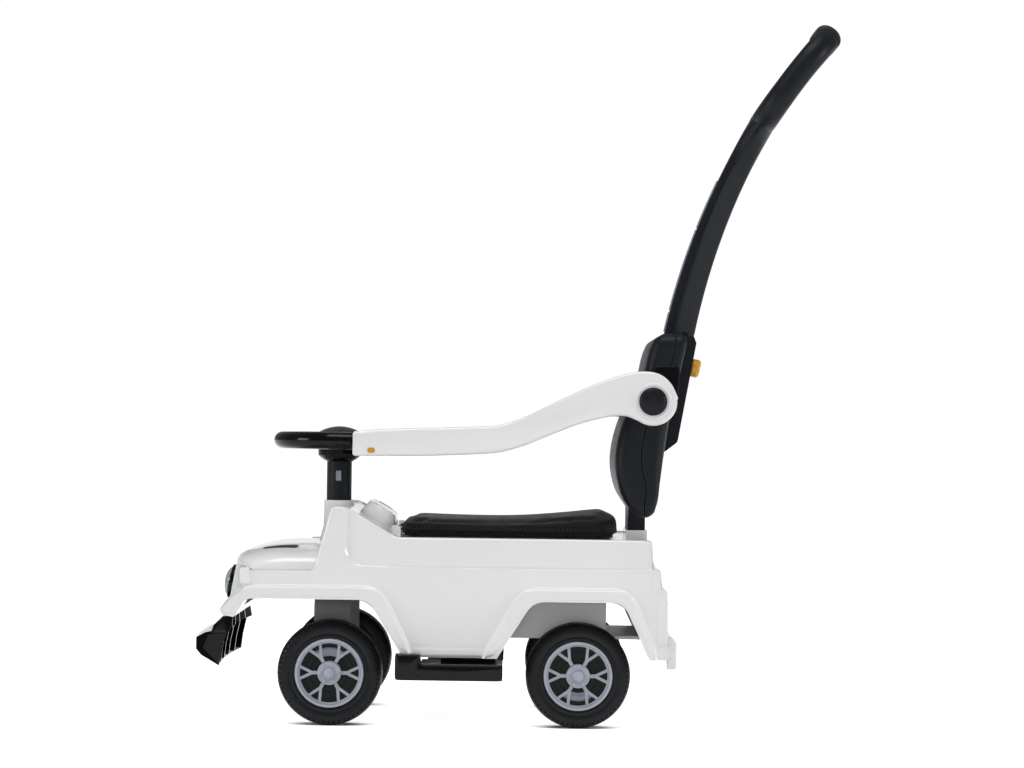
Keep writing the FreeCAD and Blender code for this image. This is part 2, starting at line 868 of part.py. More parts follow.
def column_collar():
    """Black bowl under the steering wheel, with a flat ear out to each guard arm."""
    top = s.column_top + s.collar_height
    middle = s.collar_height / 2
    bowl = turned("collar_bowl", [
        (s.shaft_radius + s.clear_gap, s.column_top),
        (s.collar_foot_radius, s.column_top),
        (s.collar_radius * collar_waist_share, s.column_top + middle * half_share),
        (s.collar_radius, s.column_top + middle),
        (s.collar_radius, top),
        (s.shaft_radius + s.clear_gap, top),
    ])
    put(bowl, s.front_axle_x, 0, 0)
    ear_top = s.rim_z - s.rim_tube_radius - s.ear_gap
    ear = block("collar_ear", (s.ear_x - s.ear_width / 2, s.ear_x + s.ear_width / 2),
                (-s.ear_reach, s.ear_reach), (ear_top - s.ear_thickness, ear_top))
    root = block("collar_root", (s.front_axle_x + s.shaft_radius + s.clear_gap * 2, s.ear_x),
                 (-s.ear_width, s.ear_width), (ear_top - s.ear_thickness, ear_top))
    return fuse("column_collar", bowl, ear, root)


collar_waist_share = 0.86
node(column_collar(), "column_collar")


# Body shell

def upper_half(inset=0):
    """Half width of the upper panels, with the wall taken off for the inside."""
    return s.body_half_width - s.upper_inset - inset


def side_edges(shape, half, above):
    """Edges on the two side planes of a slab, above a height."""
    chosen = []
    for edge in shape.Edges:
        low, high = edge.BoundBox.YMin, edge.BoundBox.YMax
        on_side = abs(abs(low) - half) < same_place and abs(high - low) < same_place
        if on_side and edge.BoundBox.ZMax > above:
            chosen.append(edge)
    return chosen


def lower_body():
    """Doors, fenders and tail in one block, up to the fender shelf and the side crease."""
    outline = [
        (s.body_tip_x, s.sill_z, 0),
        (s.body_tip_x, s.body_tip_z, 0),
        (s.fender_front_x, s.flare_z, s.body_wall),
        (s.fender_front_x, s.fender_z, s.fender_round),
        (s.cowl_foot_x, s.fender_z, 0),
        (s.cowl_foot_x, s.crease_z, 0),
        (s.tail_step_x, s.crease_z, s.body_wall),
        (s.tail_step_x, s.tail_step_z, 0),
        (s.tail_x, s.tail_step_z, s.body_wall),
        (s.tail_x, s.tail_skirt_z, 0),
        (s.tail_skirt_x, s.tail_skirt_z, 0),
        (s.tail_skirt_x, s.sill_z, 0),
    ]
    return slab(outline, -s.body_half_width, s.body_half_width)


def upper_body(inset):
    """Cowl, dash slope and rear deck; the inside is the same outline moved in by the wall."""
    slope = inset * slope_share
    outline = [
        (s.cowl_foot_x + slope, s.fender_z - s.body_wall, 0),
        (s.cowl_front_x + slope, s.cowl_z - inset, s.fender_round),
        (s.cowl_rear_x - inset * half_share, s.cowl_z - inset, s.fender_round),
        (s.dash_foot_x - inset * half_share, s.deck_z - inset, s.fender_round),
        (s.upper_rear_x - inset, s.deck_z - inset, s.deck_round - inset),
        (s.upper_rear_x - inset, s.fender_z - s.body_wall, 0),
    ]
    half = upper_half(inset)
    solid = slab(outline, -half, half)
    if float(as_size(inset)) == 0:
        edges = side_edges(solid, float(half), float(s.crease_z))
        solid = solid.makeFillet(float(s.deck_round), edges)
    return solid


slope_share = 1.1


def hood(inset):
    """Nose and hood: a side outline with a leaning front, under a crowned cross-section."""
    half = s.hood_half_width - inset
    top = s.hood_crown_z + s.overrun
    lean = [
        (s.nose_foot_x + inset, s.nose_foot_z - s.body_wall, 0),
        (s.hood_front_x + inset, s.hood_front_z - inset, s.hood_front_round - inset),
        (s.hood_front_x + s.hood_slope_run + inset * half_share, s.hood_brow_z - inset, s.hood_brow_round),
        (s.hood_front_x + s.hood_slope_run * 2, top, 0),
        (s.cowl_front_x, top, 0),
        (s.cowl_front_x, s.nose_foot_z - s.body_wall, 0),
    ]
    body = slab(lean, -half, half)
    edge = Part.makeLine(front_point(float(-half), float(s.nose_foot_z - s.overrun)),
                         front_point(float(-half), float(s.hood_edge_z - inset)))
    crown = Part.Arc(front_point(float(-half), float(s.hood_edge_z - inset)),
                     front_point(0, float(s.hood_crown_z - inset)),
                     front_point(float(half), float(s.hood_edge_z - inset))).toShape()
    other = Part.makeLine(front_point(float(half), float(s.hood_edge_z - inset)),
                          front_point(float(half), float(s.nose_foot_z - s.overrun)))
    base = Part.makeLine(front_point(float(half), float(s.nose_foot_z - s.overrun)),
                         front_point(float(-half), float(s.nose_foot_z - s.overrun)))
    section = Part.Face(Part.Wire([edge, crown, other, base]))
    section.translate(spot(s.bumper_front_x, 0, 0))
    prism = section.extrude(spot(-s.bumper_front_x, 0, 0))
    return body.common(prism)


def front_arch():
    """What the front wheel opening takes out of the body, from the tip of the fender to the sill."""
    x = s.front_axle_x
    return [
        (s.body_tip_x - s.overrun, 0, 0),
        (s.body_tip_x - s.overrun, s.body_tip_z, 0),
        (s.body_tip_x, s.body_tip_z, 0),
        (s.front_tip_drop_x, s.front_tip_drop_z, s.body_wall),
        (x - s.front_arch_ahead, s.arch_z, s.arch_round * half_share),
        (x + s.front_arch_behind, s.arch_z, s.arch_round),
        (x + s.front_arch_foot, s.sill_z, 0),
        (x + s.front_arch_foot, 0, 0),
    ]


def rear_arch():
    x = rear_axle_x
    return [
        (x - s.rear_arch_front_foot, 0, 0),
        (x - s.rear_arch_front_foot, s.sill_z, 0),
        (x - s.rear_arch_ahead, s.arch_z, s.arch_round),
        (x + s.rear_arch_behind, s.arch_z, s.arch_round * flare_round_share),
        (x + s.rear_arch_rear_foot, s.sill_z, 0),
        (x + s.rear_arch_rear_foot, 0, 0),
    ]


flare_round_share = 0.8


def flares():
    """Raised lips round the wheel openings, one on each side at each axle."""
    front = [
        (s.body_tip_x, s.sill_z, 0),
        (s.body_tip_x, s.body_tip_z, 0),
        (s.front_axle_x - s.front_flare_ahead, s.flare_z, s.arch_round),
        (s.front_axle_x + s.front_flare_behind, s.flare_z, s.arch_round),
        (s.front_axle_x + s.front_flare_foot, s.sill_z, 0),
    ]
    rear = [
        (rear_axle_x - s.rear_flare_front_foot, s.sill_z, 0),
        (rear_axle_x - s.rear_flare_ahead, s.flare_z, s.arch_round),
        (rear_axle_x + s.rear_flare_behind, s.flare_z, s.arch_round * flare_round_share),
        (rear_axle_x + s.rear_flare_rear_foot, s.sill_z, 0),
    ]
    lips = []
    for outline in (front, rear):
        lip = slab(outline, s.body_half_width - s.body_wall, s.flare_half_width)
        edges = [edge for edge in lip.Edges
                 if edge.BoundBox.YMin > float(s.flare_half_width) - same_place
                 and edge.BoundBox.ZMax > float(s.body_tip_z) + same_place]
        lip = lip.makeFillet(float(s.flare_round), edges)
        lips += [lip, mirrored(lip)]
    return lips


def dash_pod():
    """Tapered pod on the dash slope, without its lid."""
    outline = [
        (s.pod_front_x, s.deck_z, 0),
        (s.pod_front_x, s.pod_front_z, s.body_wall),
        (s.pod_apex_x, s.pod_apex_z, s.body_wall * half_share),
        (s.pod_rear_x, s.pod_rear_z, s.body_wall * half_share),
        (s.pod_rear_x, s.deck_z, 0),
    ]
    pod = slab(outline, -s.pod_half_width, s.pod_half_width)
    edges = side_edges(pod, float(s.pod_half_width), float(s.deck_z) + same_place)
    return pod.makeFillet(float(s.pod_round), edges).cut(pod_lid(s.seat_gap))


def pod_lid(gap):
    """Thin plate let into the slanted top of the pod, with a shallow slot."""
    start = spot(s.pod_apex_x, 0, s.pod_apex_z)
    along = spot(s.pod_rear_x, 0, s.pod_rear_z) - start
    length = along.Length - 2 * float(s.pod_lid_margin - gap)
    half = float(s.pod_half_width - s.pod_round - s.pod_lid_margin + gap)
    deep = float(s.pod_lid_thickness + gap)
    plate = Part.makeBox(length, 2 * half, deep, Vector(float(s.pod_lid_margin - gap), -half, -deep))
    if float(gap) == 0:
        slot = float(s.pod_slot_half_width)
        plate = plate.cut(Part.makeBox(length * slot_length_share, 2 * slot, deep,
                                       Vector(length * slot_start_share, -slot, -deep * half_share)))
    lean = math.degrees(math.atan2(along.z, along.x))
    plate.Placement = FreeCAD.Placement(start, FreeCAD.Rotation(Vector(0, 1, 0), -lean))
    return plate


slot_length_share = 0.55
slot_start_share = 0.35


def post_outline(gap):
    """Low and high places of the backrest post across the car and along it, widened by a gap."""
    return ((s.post_front_x - gap, s.post_front_x + s.post_depth + gap),
            (-s.post_half_width - gap, s.post_half_width + gap))


def hinge_lug(sign, y, foot_z, reach):
    """A knuckle of the seat hinge; its foot lies between two heights and ends at reach along X."""
    half = s.hinge_lug_width / 2
    centre = spot(s.hinge_x, sign * y - half, s.hinge_z)
    eye = drum(s.hinge_radius, s.hinge_lug_width, centre, Vector(0, 1, 0))
    foot = box(ordered(s.hinge_x, reach), (sign * y - half, sign * y + half), foot_z)
    bore = drum(s.hinge_pin_radius + s.running_gap, s.hinge_lug_width + s.overrun * 2,
                spot(s.hinge_x, sign * y - half - s.overrun, s.hinge_z), Vector(0, 1, 0))
    return eye.fuse(foot).cut(bore)


def body_shell():
    """The white shell: outer blocks, hollowed from below, with its openings and sleeves."""
    up = Vector(0, 0, 1)
    steer = spot(s.front_axle_x, 0, 0)
    tower = drum(s.tower_radius, s.tower_top - s.fender_z, steer + up * float(s.fender_z), up)
    foot = Part.makeCone(float(s.tower_foot_radius), float(s.tower_radius),
                         float(s.tower_foot_top - s.tower_foot_low), steer + up * float(s.tower_foot_low), up)
    ledge_x = s.hinge_x - s.hinge_radius - s.clear_gap
    ledge = box((ledge_x - s.ledge_thickness, ledge_x), (-s.ledge_half_width, s.ledge_half_width),
                (s.deck_z - s.body_wall, s.ledge_z))
    tower_x, tower_y = post_outline(s.post_tower_wall)
    post_tower = box(tower_x, tower_y, (s.deck_z - s.body_wall, s.post_tower_top))
    arches = [slab(front_arch(), -s.flare_half_width - s.overrun, s.flare_half_width + s.overrun),
              slab(rear_arch(), -s.flare_half_width - s.overrun, s.flare_half_width + s.overrun)]
    outer = lower_body().fuse([upper_body(0), hood(0), tower, foot, ledge, post_tower, dash_pod()] + flares())
    inner_half = s.body_half_width - s.body_wall
    inside = [
        box((s.fender_front_x + s.body_wall, s.upper_rear_x - s.body_wall), (-inner_half, inner_half),
            (0, s.fender_z - s.body_wall)),
        upper_body(s.body_wall),
        hood(s.body_wall),
    ]
    shell = outer.cut(arches).cut(inside)
    sleeve = drum(s.tower_radius, s.tower_top - s.sleeve_low, steer + up * float(s.sleeve_low), up)
    post_sleeve = box(tower_x, tower_y, (s.post_low - s.body_wall, s.post_tower_top))
    lug_y = s.hinge_lug_y + s.hinge_lug_width + s.clear_gap
    lug_foot = (s.deck_z - s.body_wall, s.hinge_z)
    lug_root = ledge_x - s.ledge_thickness * half_share
    lugs = [hinge_lug(sign, lug_y, lug_foot, lug_root) for side, sign in SIDES]
    shell = shell.fuse([sleeve, post_sleeve] + lugs)
    bore = drum(s.column_radius + s.seat_gap, s.tower_top, steer, up)
    post_x, post_y = post_outline(s.seat_gap)
    pocket = box(post_x, post_y, (s.post_low, s.post_tower_top + s.overrun))
    opening = box((s.tub_front_x - s.seat_gap, s.tub_rear_x + s.seat_gap),
                  (-tub_half_width - s.seat_gap, tub_half_width + s.seat_gap),
                  (s.deck_z - s.body_wall * 2, s.deck_z + s.overrun))
    seats = [vent_shape(sign, s.seat_gap) for side, sign in SIDES]
    return shell.cut([bore, pocket, opening] + seats).removeSplitter()


# Nose trim

def vent_shape(sign, gap):
    """A black louvre block let into the hood, with a slanted top."""
    half_length = s.vent_length / 2 + gap
    half_width = s.vent_width / 2 + gap
    top = s.hood_crown_z - s.vent_drop
    outline = [
        (s.vent_x - half_length, top - s.vent_sink, 0),
        (s.vent_x - half_length, top - s.vent_height * half_share, 0),
        (s.vent_x + half_length, top, 0),
        (s.vent_x + half_length, top - s.vent_sink, 0),
    ]
    return slab(outline, sign * s.vent_y - half_width, sign * s.vent_y + half_width)


def nose_frame(y, z):
    """Place on the leaning nose with local Z pointing out of it."""
    run = float(s.hood_front_x - s.nose_foot_x)
    rise = float(s.hood_front_z - s.nose_foot_z)
    x = float(s.nose_foot_x) + (float(as_size(z)) - float(s.nose_foot_z)) * run / rise
    lean = math.degrees(math.atan2(run, rise))
    turn = FreeCAD.Rotation(Vector(0, 1, 0), lean - 90)
    return FreeCAD.Placement(spot(x, y, z), turn)


def on_nose(shape, y, z):
    shape.Placement = nose_frame(y, z)
    return shape


def headlight_bezel():
    up = Vector(0, 0, 1)
    inner = s.headlight_radius - s.headlight_ring
    return drum(s.headlight_radius, s.headlight_depth, Vector(), up).cut(
        drum(inner, s.headlight_depth, spot(0, 0, s.body_wall), up))


def headlight_lens():
    """Shallow dome seated in its ring."""
    radius = float(s.headlight_radius - s.headlight_ring - s.seat_gap)
    rise = float(s.lens_bulge)
    sphere = (radius ** 2 + rise ** 2) / (2 * rise)
    depth = s.headlight_depth - s.body_wall
    body = drum(radius, depth, spot(0, 0, s.body_wall), Vector(0, 0, 1))
    top = float(s.headlight_depth)
    return body.common(Part.makeSphere(sphere, Vector(0, 0, top - sphere)))


def grille():
    """Black panel on the nose with plain level slots."""
    half_height = float(s.grille_height) / 2
    half_width = float(s.grille_half_width)
    deep = float(s.grille_thickness)
    panel = Part.makeBox(2 * half_height, 2 * half_width, deep, Vector(-half_height, -half_width, 0))
    edges = [edge for edge in panel.Edges if abs(edge.BoundBox.ZLength - deep) < same_place]
    panel = panel.makeFillet(float(s.grille_slot), edges)
    count = int(s.grille_slots.value)
    pitch = 2 * half_height / (count + half_share)
    slots = []
    for index in range(count):
        middle = -half_height + pitch * (index + half_share + half_share * half_share)
        slot = float(s.grille_slot)
        half_span = half_width * grille_span_share
        corner = Vector(middle - slot / 2, -half_span, deep * half_share)
        slots.append(Part.makeBox(slot, 2 * half_span, deep, corner))
    return panel.cut(slots)


grille_span_share = 0.86


def front_bumper():
    """Moulded bar with rounded ends, and the bracket behind it under the nose."""
    bar = slab(in_box(BUMPER_SHARES, (s.bumper_front_x, s.bumper_rear_x), (s.bumper_low, s.bumper_top)),
               -s.bumper_half_width, s.bumper_half_width)
    plan = [
        (s.bumper_front_x, -s.bumper_half_width, s.bumper_end_round),
        (s.bumper_front_x, s.bumper_half_width, s.bumper_end_round),
        (s.bumper_rear_x + s.overrun, s.bumper_half_width, 0),
        (s.bumper_rear_x + s.overrun, -s.bumper_half_width, 0),
    ]
    bar = bar.common(slab(plan, 0, s.bumper_top + s.overrun, plan_point))
    bracket = box((s.bumper_rear_x - s.overrun, s.bracket_rear_x),
                  (-s.bracket_half_width, s.bracket_half_width),
                  (s.bracket_low, s.front_tip_drop_z - s.clear_gap))
    return bar.fuse(bracket).removeSplitter()


BUMPER_SHARES = (
    (0.0, 0.62, 0.1), (0.0, 0.34, 0.1), (0.8, 0.0, 0.06), (0.9, 0.02, 0.04), (0.97, 0.32, 0.08),
    (1.0, 0.97, 0.04), (0.84, 1.0, 0.06),
)


shell = body_shell()
node(feature("body_shell", shell), "body_shell")
vents = [vent_shape(sign, as_size(0)) for side, sign in SIDES]
node(feature("hood_vents", Part.makeCompound(vents)), "hood_vents")
node(feature("dash_pod_lid", pod_lid(as_size(0))), "dash_pod_lid")
bezels = [on_nose(headlight_bezel(), sign * s.headlight_y, s.headlight_z) for side, sign in SIDES]
node(feature("headlight_bezels", Part.makeCompound(bezels)), "headlight_bezels")
lenses = [on_nose(headlight_lens(), sign * s.headlight_y, s.headlight_z) for side, sign in SIDES]
node(feature("headlight_lenses", Part.makeCompound(lenses)), "headlight_lenses")
node(feature("grille", on_nose(grille(), 0, s.headlight_z)), "grille")
node(feature("front_bumper", front_bumper()), "front_bumper")
indicators = [
    block(f"indicator_{side}", (s.fender_front_x - s.indicator_proud, s.fender_front_x),
          (sign * s.indicator_y - s.indicator_width / 2, sign * s.indicator_y + s.indicator_width / 2),
          (s.fender_z - s.fender_round - s.indicator_height, s.fender_z - s.fender_round))
    for side, sign in SIDES
]
node(group("corner_indicators", *indicators), "corner_indicators")


# Tail trim

rear_bumper_outline = [
    (s.tail_skirt_x, s.rear_bumper_low, 0),
    (s.tail_skirt_x + s.rear_bumper_depth, s.rear_bumper_low, s.rear_bumper_round),
    (s.tail_skirt_x + s.rear_bumper_depth, s.tail_skirt_z, s.rear_bumper_round),
    (s.tail_skirt_x + s.rear_bumper_depth * half_share, s.rear_bumper_top, s.rear_bumper_round * half_share),
    (s.tail_skirt_x, s.rear_bumper_top, 0),
]
node(feature("rear_bumper", slab(rear_bumper_outline, -s.rear_bumper_half_width, s.rear_bumper_half_width)),
     "rear_bumper")
lamps = [
    block(f"tail_lamp_{side}", (s.tail_x, s.tail_x + s.tail_lamp_proud),
          (sign * s.tail_lamp_y - s.tail_lamp_width / 2, sign * s.tail_lamp_y + s.tail_lamp_width / 2),
          (s.tail_lamp_z - s.tail_lamp_height / 2, s.tail_lamp_z + s.tail_lamp_height / 2))
    for side, sign in SIDES
]
node(group("tail_lamps", *lamps), "tail_lamps")


# Chassis

def chassis_pan():
    """White floor: steering plate in front, floor with wings to the sills, axle carrier behind."""
    floor_top = s.floor_low + s.floor_thickness
    plate_top = s.front_plate_low + s.front_plate_thickness
    plate = block("front_plate", (s.front_axle_x - s.front_plate_ahead, s.floor_front_x),
                  (-s.front_plate_half_width, s.front_plate_half_width), (s.front_plate_low, plate_top))
    step = block("front_step", (s.floor_front_x - s.floor_thickness, s.floor_front_x),
                 (-s.front_plate_half_width, s.front_plate_half_width), (s.floor_low, plate_top))
    neck = block("floor_neck", (s.floor_front_x - s.floor_thickness, s.wing_front_x),
                 (-s.front_plate_half_width, s.front_plate_half_width), (s.floor_low, floor_top))
    floor = block("floor_plate", (s.wing_front_x, s.upper_rear_x - s.body_wall),
                  (-floor_half_width, floor_half_width), (s.floor_low, floor_top))
    wing_half = s.body_half_width - s.body_wall
    wings = block("floor_wings", (s.wing_front_x, s.wing_rear_x), (-wing_half, wing_half),
                  (s.floor_low, floor_top))
    pieces = [plate, step, neck, floor, wings]
    for side, sign in SIDES:
        outer = sign * floor_half_width
        inner = sign * (floor_half_width - s.carrier_wall)
        pieces.append(block(f"carrier_{side}", (s.carrier_front_x, s.carrier_rear_x), ordered(inner, outer),
                            (floor_top - s.floor_thickness, s.carrier_top)))
        hanger = sign * s.fork_half_width
        hanger_inner = sign * (s.fork_half_width - s.hanger_thickness)
        pieces.append(block(f"hanger_{side}",
                            (rear_axle_x - s.hanger_half_length, rear_axle_x + s.hanger_half_length),
                            ordered(hanger_inner, hanger), (s.wheel_radius - s.hanger_drop, floor_top)))
    axle_hole = rod("hanger_axle_hole", s.axle_radius + s.running_gap, -s.fork_half_width - s.overrun,
                    s.fork_half_width * 2 + s.overrun * 2, "y", x=rear_axle_x, z=s.wheel_radius)
    bush_hole = rod("bush_hole", s.bush_radius + s.seat_gap, s.front_plate_low - s.overrun,
                    s.front_plate_thickness + s.overrun * 2, "z", x=s.front_axle_x)
    return cut("chassis_pan", fuse("chassis_body", *pieces), axle_hole, bush_hole)


node(chassis_pan(), "chassis_pan")


def storage_tub():
    """Open tub under the seat that hangs by its flange on the deck."""
    floor_top = s.floor_low + s.floor_thickness
    outer = block("tub_outer", (s.tub_front_x, s.tub_rear_x), (-tub_half_width, tub_half_width),
                  (floor_top + s.seat_gap, s.deck_z + s.tub_flange_thickness))
    flange = block("tub_flange_plate", (s.tub_front_x - s.tub_flange, s.tub_rear_x + s.tub_flange),
                   (-tub_half_width - s.tub_flange, tub_half_width + s.tub_flange),
                   (s.deck_z, s.deck_z + s.tub_flange_thickness))
    inner = block("tub_inner", (s.tub_front_x + s.tub_wall, s.tub_rear_x - s.tub_wall),
                  (-tub_half_width + s.tub_wall, tub_half_width - s.tub_wall),
                  (floor_top + s.seat_gap + s.tub_wall, s.deck_z + s.overrun))
    return cut("storage_tub", fuse("tub_body", outer, flange), inner)


node(storage_tub(), "storage_tub")
screws = [
    rod(f"screw_{index}", s.screw_radius, s.floor_low - s.screw_head, s.screw_head, "z", x=x, y=y)
    for index, (x, y) in enumerate(
        [(s.wing_front_x + s.wing_screw, sign * (s.body_half_width - s.wing_screw)) for side, sign in SIDES]
        + [(s.upper_rear_x - s.wing_screw, sign * floor_half_width * half_share) for side, sign in SIDES])
]
node(group("chassis_screws", *screws), "chassis_screws")


# Footrests

def footrest_guide():
    """Black housing under the floor with a tunnel for each footrest's tongue."""
    tunnel_low = s.guide_low + s.guide_wall
    tunnel_top = tunnel_low + s.tongue_thickness + s.clear_gap * 2
    housing = block("guide_housing", (s.guide_front_x, s.guide_rear_x),
                    (-s.guide_half_width, s.guide_half_width), (s.guide_low, tunnel_top + s.guide_wall))
    hanger = block("guide_hanger", (s.guide_front_x, s.guide_rear_x),
                   (-s.guide_half_width * guide_neck_share, s.guide_half_width * guide_neck_share),
                   (tunnel_top, s.floor_low))
    tunnels = []
    for side, sign in SIDES:
        ends = ordered(sign * (s.tongue_inner_y - s.clear_gap), sign * (s.guide_half_width + s.overrun))
        length = (s.guide_front_x + s.guide_wall, s.guide_rear_x - s.guide_wall)
        tunnels.append(block(f"guide_tunnel_{side}", length, ends, (tunnel_low, tunnel_top)))
    return cut("footrest_guide", fuse("guide_body", housing, hanger), *tunnels)


guide_neck_share = 0.8
node(footrest_guide(), "footrest_guide")


def footrest(side, sign):
    """Tread with a raised toe block and the tongue that holds it in the guide."""
    tongue_low = s.guide_low + s.guide_wall + s.clear_gap
    outline = [
        (s.tread_front_x, s.tread_inner_y, 0),
        (s.tread_rear_x, s.tread_inner_y, s.tread_round),
        (s.tread_rear_x, s.tread_outer_y, s.tread_round * 2),
        (s.toe_front_x, s.tread_outer_y, s.tread_round * 3),
        (s.toe_front_x, s.toe_inner_y, s.tread_round),
        (s.tread_front_x, s.toe_inner_y, s.tread_round),
    ]
    tread = slab(outline, s.tread_low, s.tread_top, plan_point)
    toe_side = s.flare_half_width + s.clear_gap * 2
    toe = slab([
        (s.toe_front_x, toe_side, s.tread_round),
        (s.tread_front_x, toe_side, s.tread_round),
        (s.tread_front_x, s.tread_outer_y, s.tread_round),
        (s.toe_front_x, s.tread_outer_y, s.tread_round * 3),
    ], s.tread_low, s.toe_top, plan_point)
    inset = s.guide_wall + s.clear_gap
    tongue = box((s.guide_front_x + inset, s.guide_rear_x - inset),
                 (s.tongue_inner_y, s.tread_inner_y + s.overrun),
                 (tongue_low, tongue_low + s.tongue_thickness))
    shape = tread.fuse([toe, tongue]).removeSplitter()
    return mirrored(shape) if sign < 0 else shape


for side, sign in SIDES:
    node(feature(f"footrest_{side}", footrest(side, sign)), f"footrest_{side}")


# Seat

def seat_section(x, half, crown, edge_z, low):
    """One cross-section of the cushion: flat foot, drawn-in sides and a crowned top."""
    half, crown, edge_z, low = (float(as_size(part)) for part in (half, crown, edge_z, low))
    draw = float(s.seat_draw)
    middle = (low + edge_z) / 2
    left, right = half - draw, -(half - draw)
    points = [Vector(x, -half + draw * half_share, low), Vector(x, half - draw * half_share, low),
              Vector(x, half, middle), Vector(x, left, edge_z), Vector(x, 0, edge_z + crown),
              Vector(x, right, edge_z), Vector(x, -half, middle)]
    return Part.Wire([
        Part.makeLine(points[0], points[1]),
        Part.Arc(points[1], points[2], points[3]).toShape(),
        Part.Arc(points[3], points[4], points[5]).toShape(),
        Part.Arc(points[5], points[6], points[0]).toShape(),
    ])


def seat_cushion():
    """Padded seat: sections along the car, low in front, rising towards the backrest."""
    low = s.seat_base_low + s.seat_base_thickness
    span = float(s.seat_rear_x - s.seat_front_x)
    height = s.seat_edge_z - low
    wires = []
    for along, wide, tall, crown, rise in SEAT_SHARES:
        wires.append(seat_section(
            float(s.seat_front_x) + along * span, s.seat_half_width * wide, s.seat_crown * crown,
            low + height * tall + s.seat_rise * rise, low))
    return Part.makeLoft(wires, True, True)


SEAT_SHARES = (
    (0.0, 0.93, 0.42, 0.2, 0.0), (0.015, 0.965, 0.72, 0.5, 0.0), (0.045, 0.985, 0.93, 0.9, 0.0),
    (0.12, 1.0, 1.0, 1.0, 0.0), (0.35, 0.98, 1.0, 1.0, 0.0), (0.6, 0.98, 1.0, 1.0, 0.1),
    (0.8, 1.0, 1.0, 1.0, 0.55), (0.9, 1.0, 1.0, 1.0, 0.9), (0.95, 0.985, 0.97, 0.9, 0.95),
    (0.985, 0.965, 0.72, 0.5, 0.7), (1.0, 0.93, 0.42, 0.2, 0.35),
)
node(feature("seat_cushion", seat_cushion()), "seat_cushion")


def seat_base():
    """Thin plate under the cushion with its two hinge knuckles."""
    outline = [
        (s.seat_front_x + s.seat_base_inset, -s.seat_half_width + s.seat_base_inset * 3, s.tread_round),
        (s.seat_rear_x - s.seat_base_inset, -s.seat_half_width + s.seat_base_inset * 3, s.tread_round),
        (s.seat_rear_x - s.seat_base_inset, s.seat_half_width - s.seat_base_inset * 3, s.tread_round),
        (s.seat_front_x + s.seat_base_inset, s.seat_half_width - s.seat_base_inset * 3, s.tread_round),
    ]
    plate = slab(outline, s.seat_base_low, s.seat_base_low + s.seat_base_thickness, plan_point)
    base_top = s.seat_base_low + s.seat_base_thickness
    lugs = [hinge_lug(sign, s.hinge_lug_y, (base_top - s.seat_base_thickness * half_share, base_top),
                      s.seat_front_x + s.seat_base_inset * 2) for side, sign in SIDES]
    return plate.fuse(lugs).removeSplitter()


node(feature("seat_base", seat_base()), "seat_base")
pin_length = s.hinge_lug_width * 2 + s.clear_gap
pins = [
    rod(f"hinge_pin_{side}", s.hinge_pin_radius, sign * (s.hinge_lug_y - s.hinge_lug_width / 2), pin_length,
        "y" if sign > 0 else "-y", x=s.hinge_x, z=s.hinge_z)
    for side, sign in SIDES
]
node(group("seat_hinge_pins", *pins), "seat_hinge_pins")


# Backrest

BACK_SHARES = (
    (0.22, 0.04, 0.12), (0.08, 0.13, 0.12), (0.0, 0.27, 0.25), (0.055, 0.46, 0.5), (0.43, 0.81, 0.3),
    (0.47, 0.93, 0.25), (0.66, 1.0, 0.1), (1.0, 1.0, 0.03), (0.95, 0.9, 0.2), (0.775, 0.57, 0.6),
    (0.69, 0.36, 0.6), (0.59, 0.05, 0.12), (0.45, 0.0, 0.08),
)
PARTING_SHARES = (
    (0.84, 1.1), (0.84, 0.98), (0.80, 0.86), (0.42, 0.48), (0.365, 0.32), (0.39, 0.24), (0.43, 0.16),
    (0.42, -0.1),
)


def lean_place(depth):
    """A point on the socket's axis, depth below its mouth, turned so local Z runs up the axis."""
    lean = math.radians(s.socket_lean_deg.value)
    axis = Vector(math.sin(lean), 0, math.cos(lean))
    foot = spot(s.socket_x, 0, s.socket_z) - axis * float(as_size(depth))
    return FreeCAD.Placement(foot, FreeCAD.Rotation(Vector(0, 1, 0), s.socket_lean_deg.value))


def square_bar(side, depth, extra):
    """A square bar down the socket's axis, which runs past the mouth by extra."""
    side, depth, extra = (float(as_size(part)) for part in (side, depth, extra))
    bar = Part.makeBox(side, side, depth + extra, Vector(-side / 2, -side / 2, 0))
    bar.Placement = lean_place(depth)
    return bar


def back_block(inset):
    outline = in_box(BACK_SHARES, (s.back_front_x, s.back_rear_x), (s.back_low, s.back_top))
    face = Part.Face(rounded_wire(outline, side_point))
    if inset:
        face = Part.Face(face.OuterWire.makeOffset2D(-float(inset)))
        half = float(s.back_half_width - inset)
    else:
        half = float(s.back_half_width)
    face.translate(Vector(0, -half, 0))
    solid = face.extrude(Vector(0, 2 * half, 0))
    if not inset:
        solid = solid.makeFillet(float(s.back_round), side_edges(solid, half, 0))
    return solid


def backrest_halves():
    """Hollow backrest parted into a front and a rear half, with room for post, sleeve and pivot pins."""
    whole = back_block(0)
    hollow = back_block(s.back_wall)
    x, z = (s.back_front_x, s.back_rear_x), (s.back_low, s.back_top)
    cuts = [(across, up, 0) for across, up in PARTING_SHARES]
    line = in_box(cuts, x, z)
    far = float(s.spine_rear_x + s.overrun)
    half = s.back_half_width + s.overrun
    behind = slab(line + [(far, line[-1][1], 0), (far, line[0][1], 0)], -half, half)
    post_x, post_y = post_outline(s.seat_gap)
    around = s.sleeve_wall + s.seat_gap
    room = [
        hollow,
        box(post_x, post_y, (s.post_low, s.post_top + s.seat_gap)),
        square_bar(s.plug_side + around * 2, s.plug_depth + around, s.overrun),
        drum(s.pin_radius + s.seat_gap, half * 2, spot(s.pivot_x, -half, s.pivot_z), Vector(0, 1, 0)),
    ]
    front = whole.cut(behind).cut(room)
    rear = whole.common(behind).cut(room)
    return front, rear


